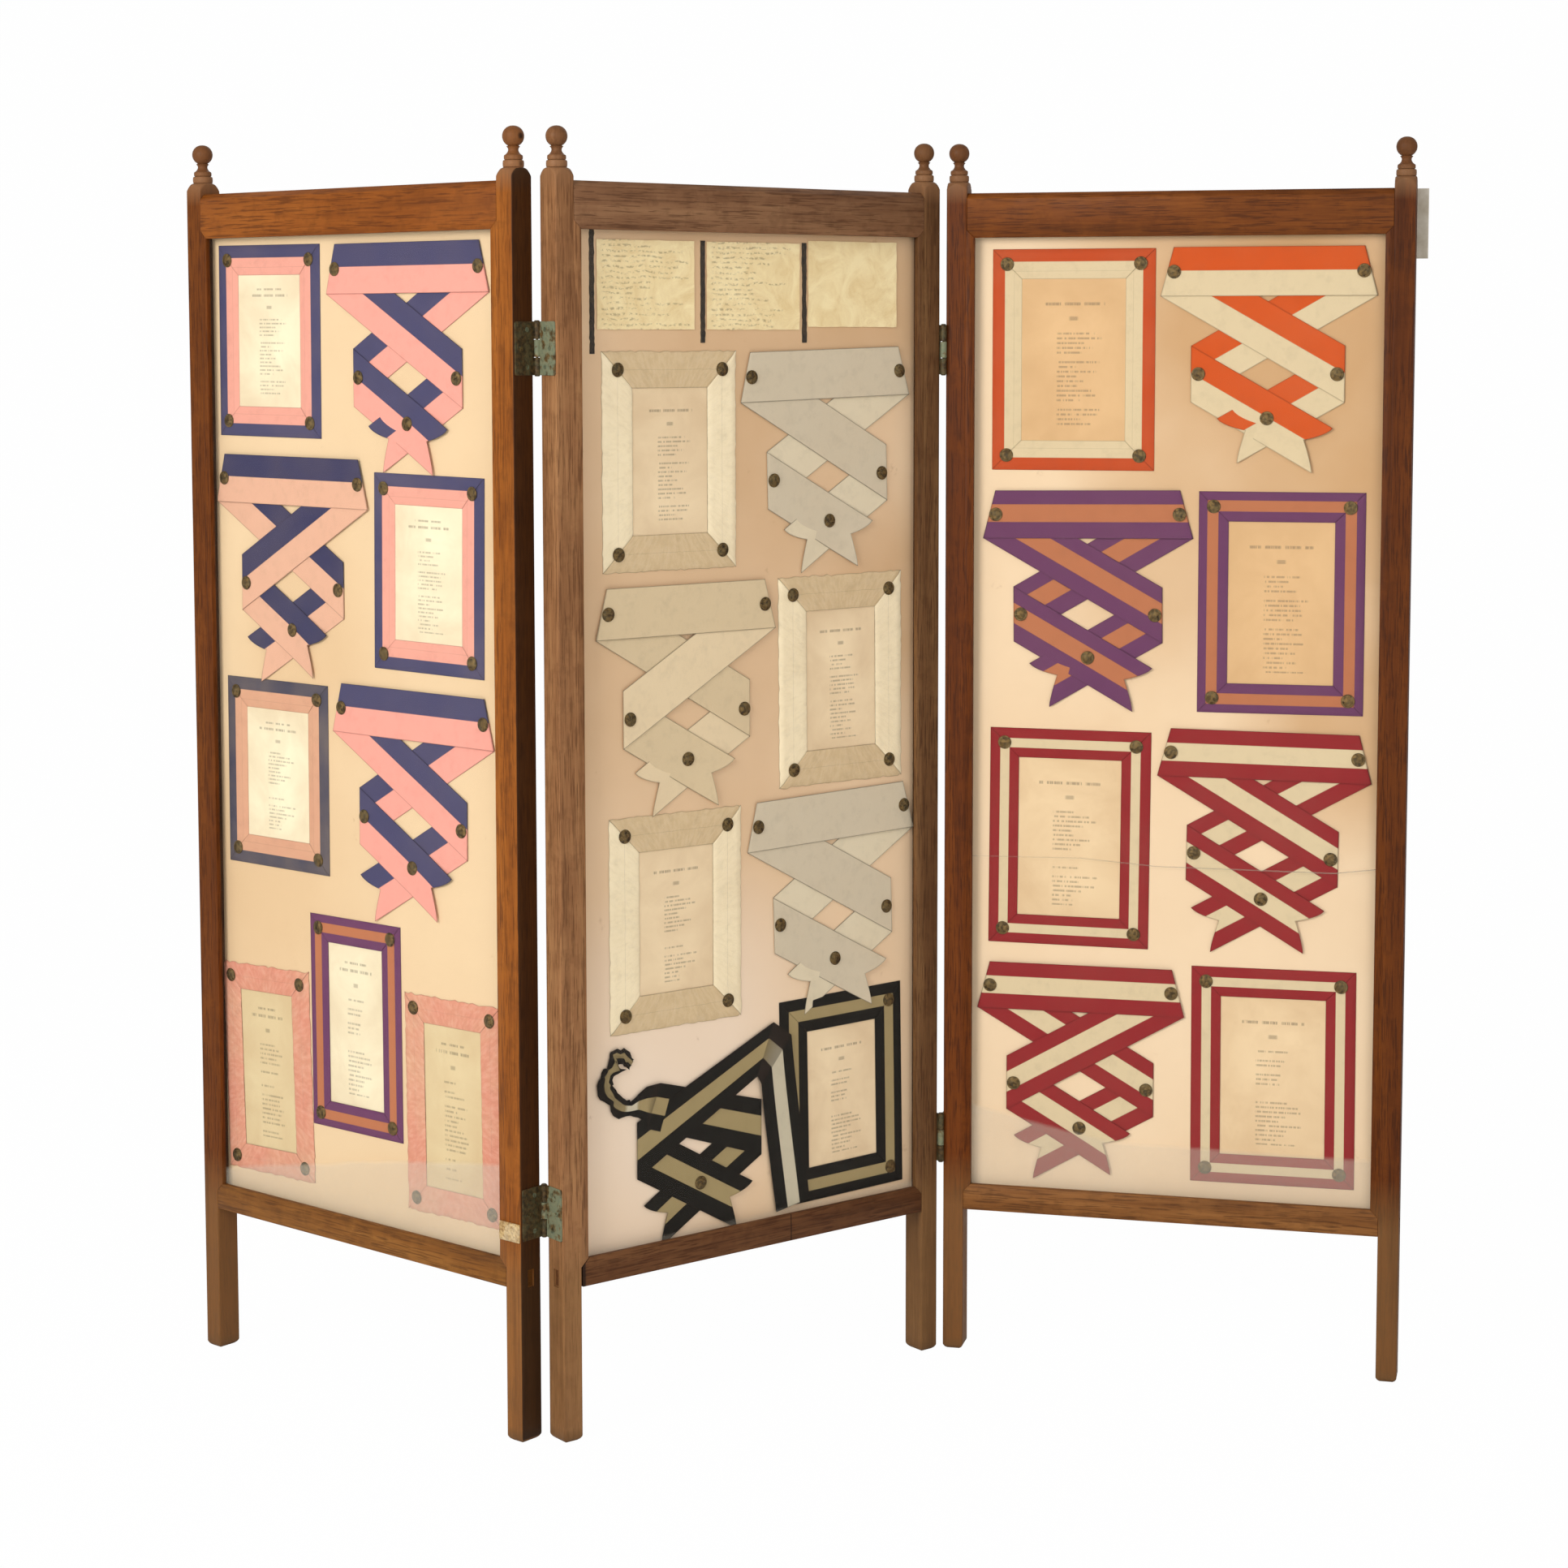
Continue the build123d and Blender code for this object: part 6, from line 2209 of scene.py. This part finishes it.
def dress_backs(shop: Workshop) -> None:
    """Glass, mount, fillets, backboard and beads of every leaf."""
    right_stains = (
        ((0.72, 0.9), 360.0, 0.78), ((0.97, 0.7), 210.0, 0.6), ((0.94, 0.5), 190.0, 0.62), ((0.5, 0.66), 200.0, 0.45)
    )
    left_stains = (((0.2, 0.34), 240.0, 0.25), ((0.3, 0.58), 200.0, 0.25), ((0.9, 0.72), 90.0, 0.15))
    # Darker patches on the middle mount: at its top right corner, along its right edge and top, and left of its middle.
    middle_dark_patches = (
        ((0.97, 0.93), 190.0, 0.45), ((0.35, 0.6), 420.0, 0.28), ((0.98, 0.62), 180.0, 0.45), ((0.5, 0.95), 380.0, 0.4)
    )
    mounts = {
        Leaf.LEFT: MountBoard("cream_mount", Leaf.LEFT.value, srgb(232, 204, 163), srgb(213, 179, 138), left_stains),
        Leaf.MIDDLE: MountBoard(
            "pinkish_mount",
            Leaf.MIDDLE.value,
            srgb(245, 214, 177),
            srgb(216, 176, 130),
            middle_dark_patches,
            unfaded=(((0.32, 0.2), 250.0, 0.46), ((0.1, 0.05), 230.0, 0.36)),
        ),
        Leaf.RIGHT: MountBoard("tan_mount", Leaf.RIGHT.value, srgb(240, 214, 179), srgb(222, 187, 144), right_stains),
    }
    crack = ((0.0, 660.0), (0.30, 663.0), (0.47, 656.0), (0.85, 656.0), (1.0, 668.0))
    panes = {
        Leaf.LEFT: PaneGlass(
            "left_pane", Leaf.LEFT.value, 0.2, ((0.0, 237.6), (0.51, 298.2), (1.0, 343.4))
        ),
        Leaf.MIDDLE: PaneGlass("middle_pane", Leaf.MIDDLE.value, 0.1, ((0.0, 228.0), (1.0, 232.0))),
        Leaf.RIGHT: PaneGlass(
            "right_pane", Leaf.RIGHT.value, 0.15, ((0.0, 338.0), (0.38, 289.0), (1.0, 287.0)), crack
        ),
    }
    # The spacer fillets get dark wood as painted shade on the walls inside the box.
    shaded = Wood("fillet_wood", 0.0, dark=srgb(38, 24, 14), middle=srgb(62, 40, 24), light=srgb(84, 56, 34), grimy=False)
    for leaf in Leaf:
        stance = leaf.value
        body = stance.body
        shop.keep(f"{body}_mount_board", mounts[leaf])
        shop.keep(f"{body}_glass", panes[leaf])
        shop.keep(f"{body}_spacer_fillets", shaded)
        board = Wood(
            f"{body}_board_pine", stance.turn, True, srgb(120, 84, 52), srgb(168, 128, 86), srgb(196, 160, 116), 0.7, False
        )
        shop.keep(f"{body}_backboard", board)
        bead = shop.eased(f"{body}_back_beads", 0.6, f"{body}_back_beads_eased")
        shop.hand_over(bead, body, "oak", oak(leaf, "top_rail"), [f"{body}_back_beads"])


def dress_oddments(shop: Workshop) -> None:
    """The clip, the tag and its tack."""
    clip = shop.eased("left_leaf_clip", 0.5, "left_leaf_pale_clip")
    pale = OldBrass("pale_clip_brass", srgb(150, 112, 62), srgb(214, 184, 128), srgb(232, 220, 188), 0.3, 0.35)
    shop.hand_over(clip, "left_leaf", "pale_clip", pale, ["left_leaf_clip"])
    shop.keep("right_leaf_tag", PlainPaint("tag_paper", srgb(214, 207, 192), srgb(180, 168, 146), 40))
    shop.keep("right_leaf_tag_tack", AGED_BRASS)


def build_hinges(shop: Workshop) -> None:
    """Both joints' hinges and the screws of every leaf."""
    hinges = []
    for height, left_level, right_level in zip(("lower", "upper"), LEFT_JOINT_LEVELS, RIGHT_JOINT_LEVELS):
        hinges.append(Hinge("left_joint", height, left_level, Leaf.LEFT, Leaf.MIDDLE, True))
        hinges.append(Hinge("right_joint", height, right_level, Leaf.MIDDLE, Leaf.RIGHT, False))
    for hinge in hinges:
        hinge.build(shop)
    for leaf in Leaf:
        left_edge = [place for hinge in hinges if hinge.inner is leaf for place in hinge.screw_places(True)]
        right_edge = [place for hinge in hinges if hinge.outer is leaf for place in hinge.screw_places(False)]
        Screws(leaf, left_edge, right_edge).build(shop)


def main() -> None:
    """Builds the screen, piece by piece, and sets the stage."""
    logging.basicConfig(level=logging.INFO, format="%(name)s: %(message)s")
    bpy.context.scene.view_settings.view_transform = "Standard"
    for leftover in list(bpy.data.objects):
        bpy.data.objects.remove(leftover)
    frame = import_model()
    shop = Workshop(frame["nodes"])
    for leaf in Leaf:
        Frame(leaf).build(shop)
    build_hinges(shop)
    dress_backs(shop)
    dress_oddments(shop)
    Display(Leaf.LEFT, *left_display(), CardPaper("cream_card", srgb(244, 232, 198), two_headings=True, aged=srgb(222, 202, 158), aged_cards=(3.5, 5.5))).build(shop)
    Display(Leaf.MIDDLE, *middle_display(), CardPaper("tan_card", srgb(250, 226, 186))).build(shop)
    Display(Leaf.RIGHT, *right_display(), CardPaper("buff_card", srgb(236, 208, 166), aged=srgb(226, 186, 136))).build(shop)
    Notes().build(shop)
    Studio().build()


if __name__ == "__main__":
    main()
